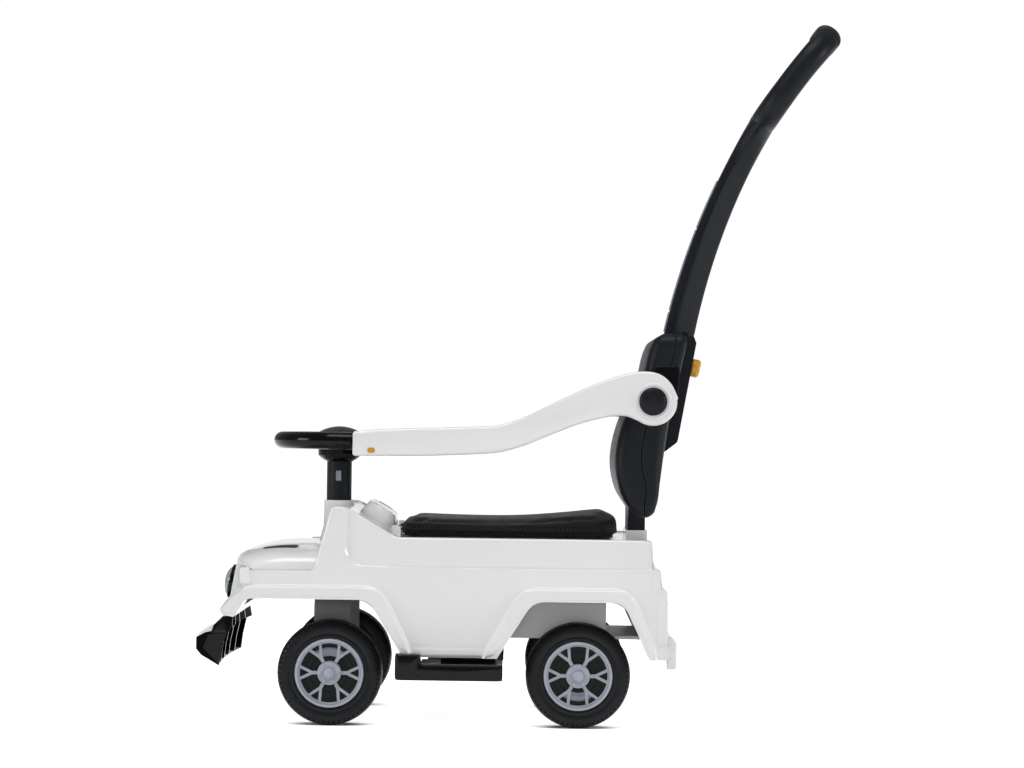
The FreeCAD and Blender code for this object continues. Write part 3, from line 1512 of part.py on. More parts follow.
def handle_socket():
    """Spine on the back of the backrest with the sleeve that takes the handle's plug."""
    outline = [
        (s.spine_foot_x - s.overrun * 2, s.spine_low, 0),
        (s.spine_foot_x + s.back_wall, s.spine_low, s.body_wall),
        (s.spine_heel_x, s.spine_heel_z, s.back_round),
        (s.spine_rear_x, s.spine_knee_z, s.body_wall),
        (s.spine_rear_x - s.back_wall, s.back_top, s.body_wall * half_share),
        (s.socket_x - s.handle_depth / 2, s.back_top, 0),
    ]
    spine = slab(outline, -s.spine_half_width, s.spine_half_width)
    spine = spine.cut(back_block(0))
    sleeve = square_bar(s.plug_side + s.sleeve_wall * 2, s.plug_depth + s.sleeve_wall, s.overrun * 2)
    top = box((s.back_front_x, s.spine_rear_x + s.overrun), (-s.spine_half_width, s.spine_half_width),
              (s.back_top, s.back_top + s.overrun * 4))
    socket = spine.fuse(sleeve).cut(top)
    hole = square_bar(s.plug_side + s.clear_gap * 2, s.plug_depth + s.clear_gap, s.overrun * 4)
    button_room = release_bar(s.release_radius + s.clear_gap, release_room, s.release_proud)
    return socket.cut([hole, button_room])


release_room = s.release_sunk + s.release_travel + s.release_spring + s.seat_gap


def release_bar(radius, sunk, proud):
    """A round bar on the back of the spine, sunk and proud of it by the given lengths."""
    lean = math.radians(s.socket_lean_deg.value)
    axis = Vector(math.cos(lean), 0, -math.sin(lean))
    slope = (s.spine_rear_x - s.spine_heel_x) / (s.spine_knee_z - s.spine_heel_z)
    face = spot(s.spine_rear_x - (s.spine_knee_z - s.release_z) * slope, 0, s.release_z)
    return drum(radius, sunk + proud, face - axis * float(as_size(sunk)), axis)


front_half, rear_half = backrest_halves()
node(feature("backrest_front", front_half), "backrest_front")
node(feature("backrest_rear", rear_half), "backrest_rear")
post_x, post_y = post_outline(as_size(0))
node(block("backrest_post", post_x, post_y, (s.post_low, s.post_top)), "backrest_post")
node(feature("handle_socket", handle_socket()), "handle_socket")
button = release_bar(s.release_radius, s.release_sunk, s.release_proud)
node(feature("release_button", button), "release_button")
washer = release_bar(s.release_radius - s.release_spring, release_room, s.release_spring - release_room)
washer = washer.cut(release_bar(s.release_radius * half_share, release_room, s.release_proud))
node(feature("release_spring", washer), "release_spring")


# Push handle

def handle_point(turn_deg):
    """Point and direction of the handle's middle line after a turn along its bend."""
    start = math.radians(s.socket_lean_deg.value)
    lean = start + math.radians(turn_deg)
    radius = s.handle_bend_radius.value
    point = spot(s.socket_x, 0, s.socket_z) + Vector(
        radius * (math.cos(start) - math.cos(lean)), 0, radius * (math.sin(lean) - math.sin(start)))
    return point, lean


def handle_section(turn_deg, depth, width):
    """Rounded rectangle square to the handle's middle line."""
    point, lean = handle_point(turn_deg)
    half_depth, half_width, turn = depth / 2, width / 2, float(s.handle_round)
    wire = rounded_wire([(-half_depth, -half_width, turn), (half_depth, -half_width, turn),
                         (half_depth, half_width, turn), (-half_depth, half_width, turn)], plan_point)
    wire.Placement = FreeCAD.Placement(point, FreeCAD.Rotation(Vector(0, 1, 0), math.degrees(lean)))
    return wire


def loop_path(half, height, turn):
    """Closed middle line of the grip loop, in a plane of Y and local Z."""
    corners = [(-half, 0, turn), (half, 0, turn), (half, height, turn), (-half, height, turn)]
    return rounded_wire(corners, front_point)


def loop_place():
    point, lean = handle_point(s.handle_bend_deg.value)
    return FreeCAD.Placement(point, FreeCAD.Rotation(Vector(0, 1, 0), s.loop_lean_deg.value))


def handle_post():
    """Bent post, its plug and the tube loop at its top."""
    wires = []
    steps = int(s.handle_steps.value)
    for index in range(steps + 1):
        along = index / steps
        depth = float(s.handle_depth) + along * float(s.handle_top_depth - s.handle_depth)
        width = float(s.handle_width) + along * float(s.handle_top_width - s.handle_width)
        wires.append(handle_section(along * s.handle_bend_deg.value, depth, width))
    under = box((0, s.spine_rear_x + s.overrun), (-s.handle_width, s.handle_width),
                (0, s.back_top + s.clear_gap))
    post = Part.makeLoft(wires, True, False).cut(under)
    plug = square_bar(s.plug_side, s.plug_depth, s.overrun)
    path = loop_path(s.loop_half_width, s.loop_height, s.loop_round)
    ring_face = Part.Face(Part.Wire(Part.makeCircle(float(s.loop_tube_radius), Vector(), Vector(0, 1, 0))))
    loop = path.makePipe(ring_face)
    loop = loop if loop.ShapeType == "Solid" else Part.Solid(Part.Shell(loop.Faces))
    loop.Placement = loop_place()
    bar = grip_bar(s.grip_radius, s.grip_half_length + s.seat_gap)
    core = grip_bar(s.loop_tube_radius, s.grip_half_length + s.overrun)
    return post.fuse([plug, loop]).cut(bar.cut(core)).removeSplitter()


def grip_bar(radius, half_length):
    """A bar along the top of the loop."""
    bar = drum(radius, half_length * 2, spot(0, -half_length, s.loop_height), Vector(0, 1, 0))
    bar.Placement = loop_place().multiply(bar.Placement)
    return bar


grip = grip_bar(s.grip_radius, s.grip_half_length).cut(
    grip_bar(s.loop_tube_radius + s.seat_gap, s.grip_half_length + s.overrun))
node(feature("handle_post", handle_post()), "handle_post")
node(feature("handle_grip", grip), "handle_grip")


# Guard arms

ARM_TOP_SHARES = (
    (0.0, 0.287), (0.093, 0.311), (0.239, 0.329), (0.456, 0.362), (0.566, 0.46), (0.72, 0.716),
    (0.871, 0.936), (0.97, 1.0), (1.03, 0.964),
)
ARM_LOW_SHARES = (
    (1.0, 0.40), (0.95, 0.45), (0.885, 0.493), (0.832, 0.469), (0.757, 0.395), (0.68, 0.296), (0.572, 0.142),
    (0.495, 0.067), (0.42, 0.04), (0.239, 0.01), (0.0, 0.0),
)


def curve_through(shares, y):
    """Smooth edge through hand-chosen shares of the arm's length and rise."""
    length = float(s.pivot_x - s.arm_front_x)
    points = [spot(s.arm_front_x + across * length, y, s.arm_low + s.arm_rise * up) for across, up in shares]
    curve = Part.BSplineCurve()
    curve.interpolate(points)
    return curve.toShape()


def guard_arm():
    """One arm on the +Y side: swept bar, hub at the backrest, and the clasp over the collar's ear."""
    y = s.arm_inner_y
    top = curve_through(ARM_TOP_SHARES, y)
    low = curve_through(ARM_LOW_SHARES, y)
    heel = Part.makeLine(top.Vertexes[-1].Point, low.Vertexes[0].Point)
    front = Part.makeLine(low.Vertexes[-1].Point, top.Vertexes[0].Point)
    bar = Part.Face(Part.Wire([top, heel, low, front])).extrude(spot(0, s.arm_outer_y - y, 0))
    hub = drum(s.arm_hub_radius, s.arm_outer_y - y, spot(s.pivot_x, y, s.pivot_z), Vector(0, 1, 0))
    clasp = slab([
        (s.arm_front_x, s.clasp_inner_y, s.body_wall),
        (s.arm_front_x + s.clasp_length * half_share, s.clasp_inner_y, s.body_wall),
        (s.arm_front_x + s.clasp_length, s.arm_inner_y + s.body_wall, 0),
        (s.arm_front_x + s.clasp_length, s.arm_outer_y, 0),
        (s.arm_front_x, s.arm_outer_y, s.clasp_round),
    ], s.arm_low, s.arm_low + s.clasp_height, plan_point)
    front_corner = box((s.arm_front_x - s.overrun, s.arm_front_x + s.clasp_round),
                       (s.arm_outer_y - s.clasp_round, s.arm_outer_y + s.overrun),
                       (s.arm_low - s.overrun, s.arm_low + s.arm_rise))
    bar = bar.cut(front_corner)
    ear_top = s.rim_z - s.rim_tube_radius - s.ear_gap
    gap = s.clear_gap
    ear_room = box((s.ear_x - s.ear_width / 2 - gap, s.ear_x + s.ear_width / 2 + gap),
                   (s.clasp_inner_y - s.overrun, s.ear_reach + gap), (s.arm_low - s.overrun, ear_top + gap))
    pin_room = drum(s.pin_radius + s.running_gap, s.arm_outer_y, spot(s.pivot_x, 0, s.pivot_z),
                    Vector(0, 1, 0))
    return bar.fuse([hub, clasp]).cut([ear_room, pin_room, latch_shape(gap, s.latch_travel)]).removeSplitter()


def latch_shape(gap, deeper):
    """Small oval button in the outer face of the arm; gap and deeper make its pocket."""
    half_length = s.latch_length / 2 + gap
    half_height = s.latch_height / 2 + gap
    outline = [
        (s.latch_x - half_length, s.latch_z - half_height, half_height * oval_share),
        (s.latch_x + half_length, s.latch_z - half_height, half_height * oval_share),
        (s.latch_x + half_length, s.latch_z + half_height, half_height * oval_share),
        (s.latch_x - half_length, s.latch_z + half_height, half_height * oval_share),
    ]
    return slab(outline, s.arm_outer_y - s.latch_depth - deeper - gap, s.arm_outer_y + s.latch_proud)


oval_share = 0.9
arm = guard_arm()
latch = latch_shape(as_size(0), as_size(0))
for side, sign in SIDES:
    node(feature(f"guard_arm_{side}", arm if sign > 0 else mirrored(arm)), f"guard_arm_{side}")
    node(feature(f"guard_latch_{side}", latch if sign > 0 else mirrored(latch)), f"guard_latch_{side}")

pivot_pins = [
    rod(f"pivot_pin_{side}", s.pin_radius, sign * s.pin_inner_y, s.arm_outer_y + s.clear_gap - s.pin_inner_y,
        "y" if sign > 0 else "-y", x=s.pivot_x, z=s.pivot_z)
    for side, sign in SIDES
]
node(group("guard_pivot_pins", *pivot_pins), "guard_pivot_pins")


def pivot_cap(sign):
    """Domed cap over the end of a guard pivot."""
    dome = cap_of_sphere(s.cap_radius, s.cap_height, 0)
    place = spot(s.pivot_x, sign * (s.arm_outer_y + s.clear_gap), s.pivot_z)
    dome.Placement = FreeCAD.Placement(place, TURN_TO["y" if sign > 0 else "-y"])
    return dome


caps = [pivot_cap(sign) for side, sign in SIDES]
node(feature("guard_pivot_caps", Part.makeCompound(caps)), "guard_pivot_caps")


# Check and write

doc.recompute()
for thing in doc.Objects:
    if "Invalid" in thing.State or "Error" in thing.State:
        raise RuntimeError(f"{thing.Label} failed: {thing.State}")
for thing in NODES:
    if thing.Shape.isNull() or not thing.Shape.isValid():
        raise RuntimeError(f"{thing.Label} has no valid shape")

os.makedirs("parts", exist_ok=True)
for thing in NODES:
    thing.Shape.exportStep(f"parts/{thing.Label}.step")
    print(thing.Label, "solids", len(thing.Shape.Solids), "volume", round(thing.Shape.Volume))
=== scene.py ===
# %% [markdown]
# # A push car with a handle, dressed for the studio
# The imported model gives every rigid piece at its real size. This lesson adds what a drawing lacks: soft
# edges, tread, padding, grain and gloss. Each step says what the piece is on the real toy, how it could be
# made in Blender and why it is made this way here. Lengths are in metres, +Z is up and the car's nose
# points to -X.

# %% Load the frame
import json
import math

import bmesh
import bpy
import numpy as np
from mathutils import Matrix, Vector


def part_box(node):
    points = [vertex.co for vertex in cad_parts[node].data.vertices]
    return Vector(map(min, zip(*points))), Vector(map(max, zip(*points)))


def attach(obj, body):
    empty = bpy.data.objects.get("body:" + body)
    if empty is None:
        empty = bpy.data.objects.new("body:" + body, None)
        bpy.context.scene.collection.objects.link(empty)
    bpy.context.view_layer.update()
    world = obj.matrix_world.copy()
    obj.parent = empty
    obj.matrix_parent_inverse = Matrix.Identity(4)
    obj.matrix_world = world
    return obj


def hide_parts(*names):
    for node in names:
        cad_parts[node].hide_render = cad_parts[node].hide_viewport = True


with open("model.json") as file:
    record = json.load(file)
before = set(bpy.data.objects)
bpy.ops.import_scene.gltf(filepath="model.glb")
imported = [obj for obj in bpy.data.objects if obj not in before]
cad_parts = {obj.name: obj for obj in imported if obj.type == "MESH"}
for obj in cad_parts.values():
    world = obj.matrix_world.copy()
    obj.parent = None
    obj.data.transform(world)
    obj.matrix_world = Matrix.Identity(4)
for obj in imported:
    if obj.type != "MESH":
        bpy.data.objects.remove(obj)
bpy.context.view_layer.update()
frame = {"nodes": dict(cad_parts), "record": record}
nodes = frame["nodes"]
MM = 0.001

# %% [markdown]
# ## Nodes and colours
# A finish is a small graph of shader nodes. One helper adds any node with its settings and links, so that
# the material cells below read as a list of what the eye sees. Colours are written as sRGB hex values, as a
# picture editor shows them, and one function turns them into the linear numbers that the shader works in.

# %% Helpers for materials


def linear(hex_colour):
    """sRGB hex to linear RGBA: each channel is undone by the sRGB curve."""
    channels = [int(hex_colour[i:i + 2], 16) / 255 for i in (1, 3, 5)]
    return [c / 12.92 if c <= 0.04045 else ((c + 0.055) / 1.055) ** 2.4 for c in channels] + [1.0]


def feed(tree, node, inputs):
    """Give a node its inputs: a socket is linked, anything else is set as the value."""
    for key, value in inputs.items():
        if isinstance(value, bpy.types.NodeSocket):
            tree.links.new(value, node.inputs[key])
        else:
            node.inputs[key].default_value = value


def add(tree, kind, inputs=None, **settings):
    """Add one node: settings are its properties, inputs are values or sockets to link from."""
    made = tree.nodes.new(kind)
    for key, value in settings.items():
        setattr(made, key, value)
    feed(tree, made, inputs or {})
    return made


def start_material(name):
    """A material with only a Principled shader; returns it with its tree, shader and object coordinates."""
    material = bpy.data.materials.new(name)
    material.use_nodes = True
    tree = material.node_tree
    tree.nodes.clear()
    shader = add(tree, "ShaderNodeBsdfPrincipled")
    add(tree, "ShaderNodeOutputMaterial", {"Surface": shader.outputs["BSDF"]})
    place = add(tree, "ShaderNodeTexCoord").outputs["Object"]
    return material, tree, shader, place


def per_metre(size_mm):
    """Texture scale for a pattern whose grains are this many millimetres apart."""
    return 1000 / size_mm


# %% [markdown]
# ## Moulded plastic
# Nearly all of the toy is injection or blow moulded polypropylene. Its pigment is even, with a faint
# cloudiness where the melt flowed, and its skin copies the steel tool: polished for the glossy parts, spark
# eroded to a fine grain for the satin ones. So one function makes them all from a colour, a gloss and a
# grain. The grain of a real tool is about 0.3 mm. That is finer than a pixel here, so it is drawn at about
# 1 mm. The black ones have a lower IOR than the plastic itself, matched to how little the black parts
# mirror a white studio.

# %% Moulded plastics
CLOUD_MM = 45
DUST_MM = 6
GLOSS_VARIES = 0.15
NOISE_MIDDLE = {"From Min": 0.3, "From Max": 0.7}


def moulded_plastic(name, colour, shade, roughness, grain_mm, grain_depth_mm, ior=1.49, coat=0.0):
    """Pigment between two near shades, gloss that varies a little, and the tool's grain as bump."""
    material, tree, shader, place = start_material(name)
    cloud = add(tree, "ShaderNodeTexNoise", {"Vector": place, "Scale": per_metre(CLOUD_MM), "Detail": 4.0})
    pigment = add(tree, "ShaderNodeMix", {"Factor": cloud.outputs["Fac"], "A": linear(colour),
                                          "B": linear(shade)}, data_type="RGBA")
    dust = add(tree, "ShaderNodeTexNoise", {"Vector": place, "Scale": per_metre(DUST_MM), "Detail": 3.0})
    gloss = add(tree, "ShaderNodeMapRange", {"Value": dust.outputs["Fac"], **NOISE_MIDDLE,
                                             "To Min": roughness * (1 - GLOSS_VARIES),
                                             "To Max": roughness * (1 + GLOSS_VARIES)})
    grain = add(tree, "ShaderNodeTexNoise", {"Vector": place, "Scale": per_metre(grain_mm), "Detail": 2.0})
    bump = add(tree, "ShaderNodeBump", {"Height": grain.outputs["Fac"], "Distance": grain_depth_mm * MM})
    feed(tree, shader, {"Base Color": pigment.outputs["Result"], "Roughness": gloss.outputs["Result"],
                        "Normal": bump.outputs["Normal"], "IOR": ior, "Coat Weight": coat})
    return material


# Slot: name, colour, shade, roughness, grain and its depth in mm, then IOR and clear coat where they differ
PLASTICS = {
    "white_shell": ("glossy_white_polypropylene", "#EAEAEA", "#E6E6E6", 0.17, 1.6, 0.01, 1.49, 0.4),
    "white_chassis": ("satin_white_polypropylene", "#E4E4E3", "#DEDEDD", 0.4, 1.2, 0.03),
    "tub_grey": ("satin_grey_polypropylene", "#8E8F91", "#86878A", 0.5, 1.2, 0.03),
    "black_gloss": ("polished_black_polypropylene", "#060708", "#08090A", 0.12, 1.8, 0.01, 1.27),
    "black_satin": ("grained_black_polypropylene", "#13161B", "#171A20", 0.42, 1.0, 0.04, 1.25),
    "horn_grey": ("polished_dark_grey_abs", "#26282C", "#222428", 0.25, 1.8, 0.01, 1.53),
    "snap_grey": ("moulded_grey_acetal", "#888D9A", "#818693", 0.4, 1.2, 0.02),
    "fork_grey": ("glass_filled_grey_nylon", "#7C7C7C", "#828282", 0.55, 0.9, 0.05, 1.53),
    "bush_white": ("moulded_white_acetal", "#DADAD6", "#D2D2CE", 0.35, 1.2, 0.01),
    "tyre_black": ("blow_moulded_black_tyre", "#0F1012", "#131417", 0.46, 1.2, 0.06, 1.3),
    "dish_dark": ("moulded_black_dish", "#0C0D0E", "#101112", 0.4, 1.2, 0.03, 1.3),
    "rim_silver": ("silver_pigmented_plastic", "#ABB1BC", "#A3A9B5", 0.21, 0.9, 0.015),
    "grip_rubber": ("moulded_soft_grip", "#1D1E20", "#222325", 0.62, 0.9, 0.08),
    "release_yellow": ("moulded_ochre_abs", "#DDA424", "#D69C1E", 0.3, 1.2, 0.01, 1.53),
    "latch_orange": ("moulded_amber_abs", "#D08A1A", "#C98215", 0.3, 1.2, 0.01, 1.53),
    "indicator_amber": ("clear_frosted_acrylic", "#F2F2F0", "#E8E8E6", 0.12, 1.8, 0.01),
    "lamp_red": ("clear_red_acrylic", "#A61F1C", "#9C1B19", 0.12, 1.8, 0.01),
}
FINISHES = {slot: moulded_plastic(*recipe) for slot, recipe in PLASTICS.items()}
print("moulded plastics:", len(FINISHES))

# %% [markdown]
# ## Plated steel, leatherette and glass
# The axles are zinc plated: a bright, slightly blue metal with drawn lines along it. The seat cover is
# artificial leather, a coated fabric embossed with cells about a millimetre wide. The headlight lens is
# clear moulded acrylic. These three differ in kind from the pigmented plastics, so each has a graph of its
# own.

# %% Steel, leatherette, lens


def zinc_plated_steel():
    """Metal with fine lines along the bar, which blur its reflection a little."""
    material, tree, shader, place = start_material("zinc_plated_steel")
    lines = add(tree, "ShaderNodeTexNoise", {"Vector": place, "Scale": per_metre(0.8), "Detail": 3.0})
    gloss = add(tree, "ShaderNodeMapRange", {"Value": lines.outputs["Fac"], "To Min": 0.2, "To Max": 0.42})
    feed(tree, shader, {"Roughness": gloss.outputs["Result"], "Base Color": linear("#C2C5C9"),
                        "Metallic": 1.0})
    return material


LEATHER_CELL_MM = 1.5
LEATHER_CREASE_MM = 0.12
LEATHER_CLOUD_MM = 9
LEATHER_IOR = 1.2
STITCH_MM = 5.0
STITCH_Z_MM = 241.0
SEAM_HALF_MM = (0.5, 1.1)


def black_leatherette():
    """Embossed cells, with painted shade that darkens the creases between them, soft sheen, worn,
    smoother tops, and a row of stitches at one height: thread shows where a sine along X plus Y is high, and
    the seam is dark between."""
    material, tree, shader, place = start_material("black_leatherette")
    warp = add(tree, "ShaderNodeTexNoise", {"Vector": place, "Scale": per_metre(LEATHER_CLOUD_MM),
                                            "Detail": 3.0})
    cells = add(tree, "ShaderNodeTexVoronoi", {"Vector": place, "Scale": per_metre(LEATHER_CELL_MM),
                                               "Randomness": 0.9}, feature="DISTANCE_TO_EDGE")
    crease = add(tree, "ShaderNodeMapRange", {"Value": cells.outputs["Distance"], "From Max": 0.16},
                 interpolation_type="SMOOTHSTEP")
    # Painted shade: the creases between the cells get the darker colour, the cell tops the lighter one.
    pigment = add(tree, "ShaderNodeMix", {"Factor": crease.outputs["Result"], "A": linear("#0B0B0B"),
                                          "B": linear("#171717")}, data_type="RGBA")
    axes = add(tree, "ShaderNodeSeparateXYZ", {0: place})
    above = add(tree, "ShaderNodeMath", {0: axes.outputs["Z"], 1: STITCH_Z_MM * MM}, operation="SUBTRACT")
    off = add(tree, "ShaderNodeMath", {0: above.outputs[0]}, operation="ABSOLUTE")
    seam = add(tree, "ShaderNodeMapRange", {"Value": off.outputs[0], "From Min": SEAM_HALF_MM[0] * MM,
                                            "From Max": SEAM_HALF_MM[1] * MM, "To Min": 1.0, "To Max": 0.0})
    run = add(tree, "ShaderNodeMath", {0: axes.outputs["X"], 1: axes.outputs["Y"]}, operation="ADD")
    beat = add(tree, "ShaderNodeMath", {0: run.outputs[0], 1: 2 * math.pi * per_metre(STITCH_MM)},
               operation="MULTIPLY")
    wave = add(tree, "ShaderNodeMath", {0: beat.outputs[0]}, operation="SINE")
    thread = add(tree, "ShaderNodeMapRange", {"Value": wave.outputs[0], "From Min": -0.3, "From Max": 0.1})
    line = add(tree, "ShaderNodeMix", {"Factor": thread.outputs["Result"], "A": linear("#020202"),
                                       "B": linear("#303030")}, data_type="RGBA")
    sewn = add(tree, "ShaderNodeMix", {"Factor": seam.outputs["Result"], "A": pigment.outputs["Result"],
                                       "B": line.outputs["Result"]}, data_type="RGBA")
    gloss = add(tree, "ShaderNodeMapRange", {"Value": warp.outputs["Fac"], **NOISE_MIDDLE,
                                             "To Min": 0.38, "To Max": 0.54})
    bump = add(tree, "ShaderNodeBump", {"Height": crease.outputs["Result"],
                                        "Distance": LEATHER_CREASE_MM * MM})
    feed(tree, shader, {"Base Color": sewn.outputs["Result"], "Roughness": gloss.outputs["Result"],
                        "Normal": bump.outputs["Normal"], "Sheen Weight": 0.08, "IOR": LEATHER_IOR})
    return material


FLUTE_MM = 25
FLUTE_DEPTH_MM = 0.3


def clear_acrylic():
    """Clear lens with fine moulded flutes that bend what is behind it."""
    material, tree, shader, place = start_material("fluted_clear_acrylic")
    flutes = add(tree, "ShaderNodeTexWave", {"Vector": place, "Scale": per_metre(FLUTE_MM)},
                 bands_direction="Y")
    bump = add(tree, "ShaderNodeBump", {"Height": flutes.outputs["Fac"], "Distance": FLUTE_DEPTH_MM * MM})
    feed(tree, shader, {"Normal": bump.outputs["Normal"], "Base Color": linear("#DDE3E8"), "Roughness": 0.06,
                        "Transmission Weight": 0.75})
    return material


FINISHES["steel"] = zinc_plated_steel()
FINISHES["seat_leather"] = black_leatherette()
FINISHES["lens_clear"] = clear_acrylic()
print("finishes in all:", len(FINISHES))

# %% [markdown]
# ## Rigid pieces keep their solids
# Buttons, axles, trim and panels already have the right shape, so their CAD meshes stay and get a finish. A
# mould never leaves a razor edge, though: the eye finds a moulded part by the light that runs along its
# rounded edges. A chain of modifiers adds that. Weld joins the loose triangles, Decimate joins flat ones
# into whole faces, Bevel rounds the sharp edges and Weighted Normal keeps the flats flat.

# %% Finish for every CAD node
EDGE_MM = {"body_shell": 3.0, "guard_arm_left": 5.0, "guard_arm_right": 5.0, "backrest_front": 4.0,
           "backrest_rear": 4.0, "handle_socket": 3.0, "front_bumper": 2.5, "rear_bumper": 2.0,
           "footrest_left": 2.5, "footrest_right": 2.5, "chassis_pan": 1.5, "release_button": 4.0,
           "guard_latch_left": 0.6, "guard_latch_right": 0.6, "front_fork": 1.0, "dash_pod_lid": 1.5}
PLAIN_EDGE_MM = 0.8
WELD_MM = 0.02
EDGE_STEPS = 4
SHARP_DEG = 28
FLAT_DEG = 1.0
slot_of_node = {item["node"]: item["material_slot"] for item in frame["record"]["subparts"]}


def soften(piece, edge_mm):
    """Rounded edges by modifiers: weld, join flat faces, bevel, and weigh the normals by area."""
    weld = piece.modifiers.new("weld", "WELD")
    weld.merge_threshold = WELD_MM * MM
    flat = piece.modifiers.new("flat_faces", "DECIMATE")
    flat.decimate_type = "DISSOLVE"
    flat.angle_limit = math.radians(FLAT_DEG)
    bevel = piece.modifiers.new("edges", "BEVEL")
    bevel.width = edge_mm * MM
    bevel.segments = EDGE_STEPS
    bevel.limit_method = "ANGLE"
    bevel.angle_limit = math.radians(SHARP_DEG)
    normals = piece.modifiers.new("normals", "WEIGHTED_NORMAL")
    normals.keep_sharp = False
    piece.data.shade_smooth()


def finish(piece, slot):
    """Give a piece the one material of its slot."""
    piece.data.materials.clear()
    piece.data.materials.append(FINISHES[slot])


print("slots with nodes:", len(slot_of_node))

# %% [markdown]
# ## Surfaces from arrays
# New pieces are grids of points: rows along the piece, columns around it. Numpy works out all points at
# once, and one function turns the grid into a mesh. A few more helpers come back again and again: a smooth
# curve through given points, a rounded rectangle for any number of rows, a section carried along a
# line, and a call that gives a piece its finish, its body and the CAD nodes that it stands for.

# %% Helpers for surfaces
CRISP_DEG = 42
DOUBLES_M = 1e-6
SIDES = (("left", -1), ("right", 1))
SIDEWAYS = np.array([0, 1, 0])


def grid_piece(name, points, around=True, caps=True):
    """Mesh of a grid of points in mm: quads between neighbours. Around joins the last column to the first,
    caps closes the first and the last row with one face each."""
    rows, columns = points.shape[:2]
    index = np.arange(rows * columns).reshape(rows, columns)
    beside = np.roll(index, -1, axis=1)
    span = columns if around else columns - 1
    quads = np.stack([index[:-1], beside[:-1], beside[1:], index[1:]], axis=-1)[:, :span].reshape(-1, 4)
    faces = quads.tolist()
    if caps:
        faces += [index[0][::-1].tolist(), index[-1].tolist()]
    mesh = bpy.data.meshes.new(name)
    mesh.from_pydata((points.reshape(-1, 3) * MM).tolist(), [], faces)
    tidy = bmesh.new()
    tidy.from_mesh(mesh)
    bmesh.ops.remove_doubles(tidy, verts=tidy.verts, dist=DOUBLES_M)
    bmesh.ops.recalc_face_normals(tidy, faces=tidy.faces)
    tidy.to_mesh(mesh)
    tidy.free()
    mesh.shade_smooth()
    mesh.set_sharp_from_angle(angle=math.radians(CRISP_DEG))
    piece = bpy.data.objects.new(name, mesh)
    bpy.context.scene.collection.objects.link(piece)
    return piece


def smooth_through(knots, at):
    """Cubic curve through given points: first column is the parameter, the others are values. Each span
    blends its ends and their slopes, and a slope is the rise between the two neighbours."""
    knots = np.array(knots, float)
    key, values = knots[:, 0], knots[:, 1:]
    slopes = np.gradient(values, key, axis=0)
    at = np.clip(at, key[0], key[-1])
    span = np.clip(np.searchsorted(key, at, side="right") - 1, 0, len(key) - 2)
    width = (key[span + 1] - key[span])[:, None]
    t = (at - key[span])[:, None] / width
    rise = values[span + 1] - values[span]
    curve = values[span] + rise * t * t * (3 - 2 * t)
    start, end = slopes[span] * width, slopes[span + 1] * width
    curve = curve + start * t * (1 - t) ** 2 - end * t * t * (1 - t)
    return curve


def rounded_rows(low_a, high_a, low_b, high_b, radii, steps=6):
    """Rounded rectangles, one per row, in local a and b. Radii are for the corners (low, low), (high, low),
    (high, high) and (low, high), and each is limited to the half size. Returns rows x columns x 2."""
    low_a, high_a, low_b, high_b = np.broadcast_arrays(*np.atleast_1d(low_a, high_a, low_b, high_b))
    limit = 0.499 * np.minimum(high_a - low_a, high_b - low_b)
    turn = np.linspace(0, np.pi / 2, steps)
    corners = []
    for number, (a, b) in enumerate(((low_a, low_b), (high_a, low_b), (high_a, high_b), (low_a, high_b))):
        radius = np.minimum(radii[number], limit)[:, None]
        inward_a = 1 if number in (0, 3) else -1
        inward_b = 1 if number in (0, 1) else -1
        angle = np.pi + number * np.pi / 2 + turn[None, :]
        corners.append(np.stack([a[:, None] + inward_a * radius + radius * np.cos(angle),
                                 b[:, None] + inward_b * radius + radius * np.sin(angle)], axis=-1))
    return np.concatenate(corners, axis=1)


def dress(piece, slot, body, *replaced):
    """Finish, slot and body of a new piece, and the CAD nodes that it stands for."""
    finish(piece, slot)
    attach(piece, body)
    if replaced:
        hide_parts(*replaced)
    return piece


def box_mm(node):
    """Lowest and highest corner of a CAD node in millimetres."""
    low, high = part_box(node)
    return np.array(low) / MM, np.array(high) / MM


def vectors_of(items, what):
    """Positions or normals of a mesh's vertices or faces, as rows of three."""
    found = np.empty(len(items) * 3, np.float32)
    items.foreach_get(what, found)
    return found.reshape(-1, 3)


def once(side, node):
    """A left and a right piece stand for one CAD node together: the left one names it."""
    return (node,) if side < 0 else ()


def joined_up(rows):
    """The same rows with the first one repeated at the end, so that the form closes on itself."""
    return np.concatenate([rows, rows[:1]])


def headings(line):
    """Unit direction at each point of a closed line: from the point before it to the point after it."""
    ahead = np.roll(line, -1, axis=0) - np.roll(line, 1, axis=0)
    return ahead / np.linalg.norm(ahead, axis=1, keepdims=True)


def carried(line, section, first, second):
    """A section carried along a line: its two coordinates are laid off along two directions at every row."""
    first, second = (np.atleast_2d(way)[:, None, :] for way in (first, second))
    return np.atleast_2d(line)[:, None, :] + section[..., :1] * first + section[..., 1:] * second


def crowded_ends(count):
    """Numbers from 0 to 1 that lie closer together near both ends, where a form closes."""
    return (1 - np.cos(np.linspace(0, np.pi, count))) / 2


# %% [markdown]
# ## Backrest
# Two blow moulded halves meet at a parting line that wanders down the side. Seen from the side the front
# edge swells forward at the small of the back, and all outer edges are broad and soft. A bevel can't give
# that, so each half is a stack of level sections: the front, the rear and the parting edge are curves of
# height, and a rounded rectangle fills the space between them at every level.

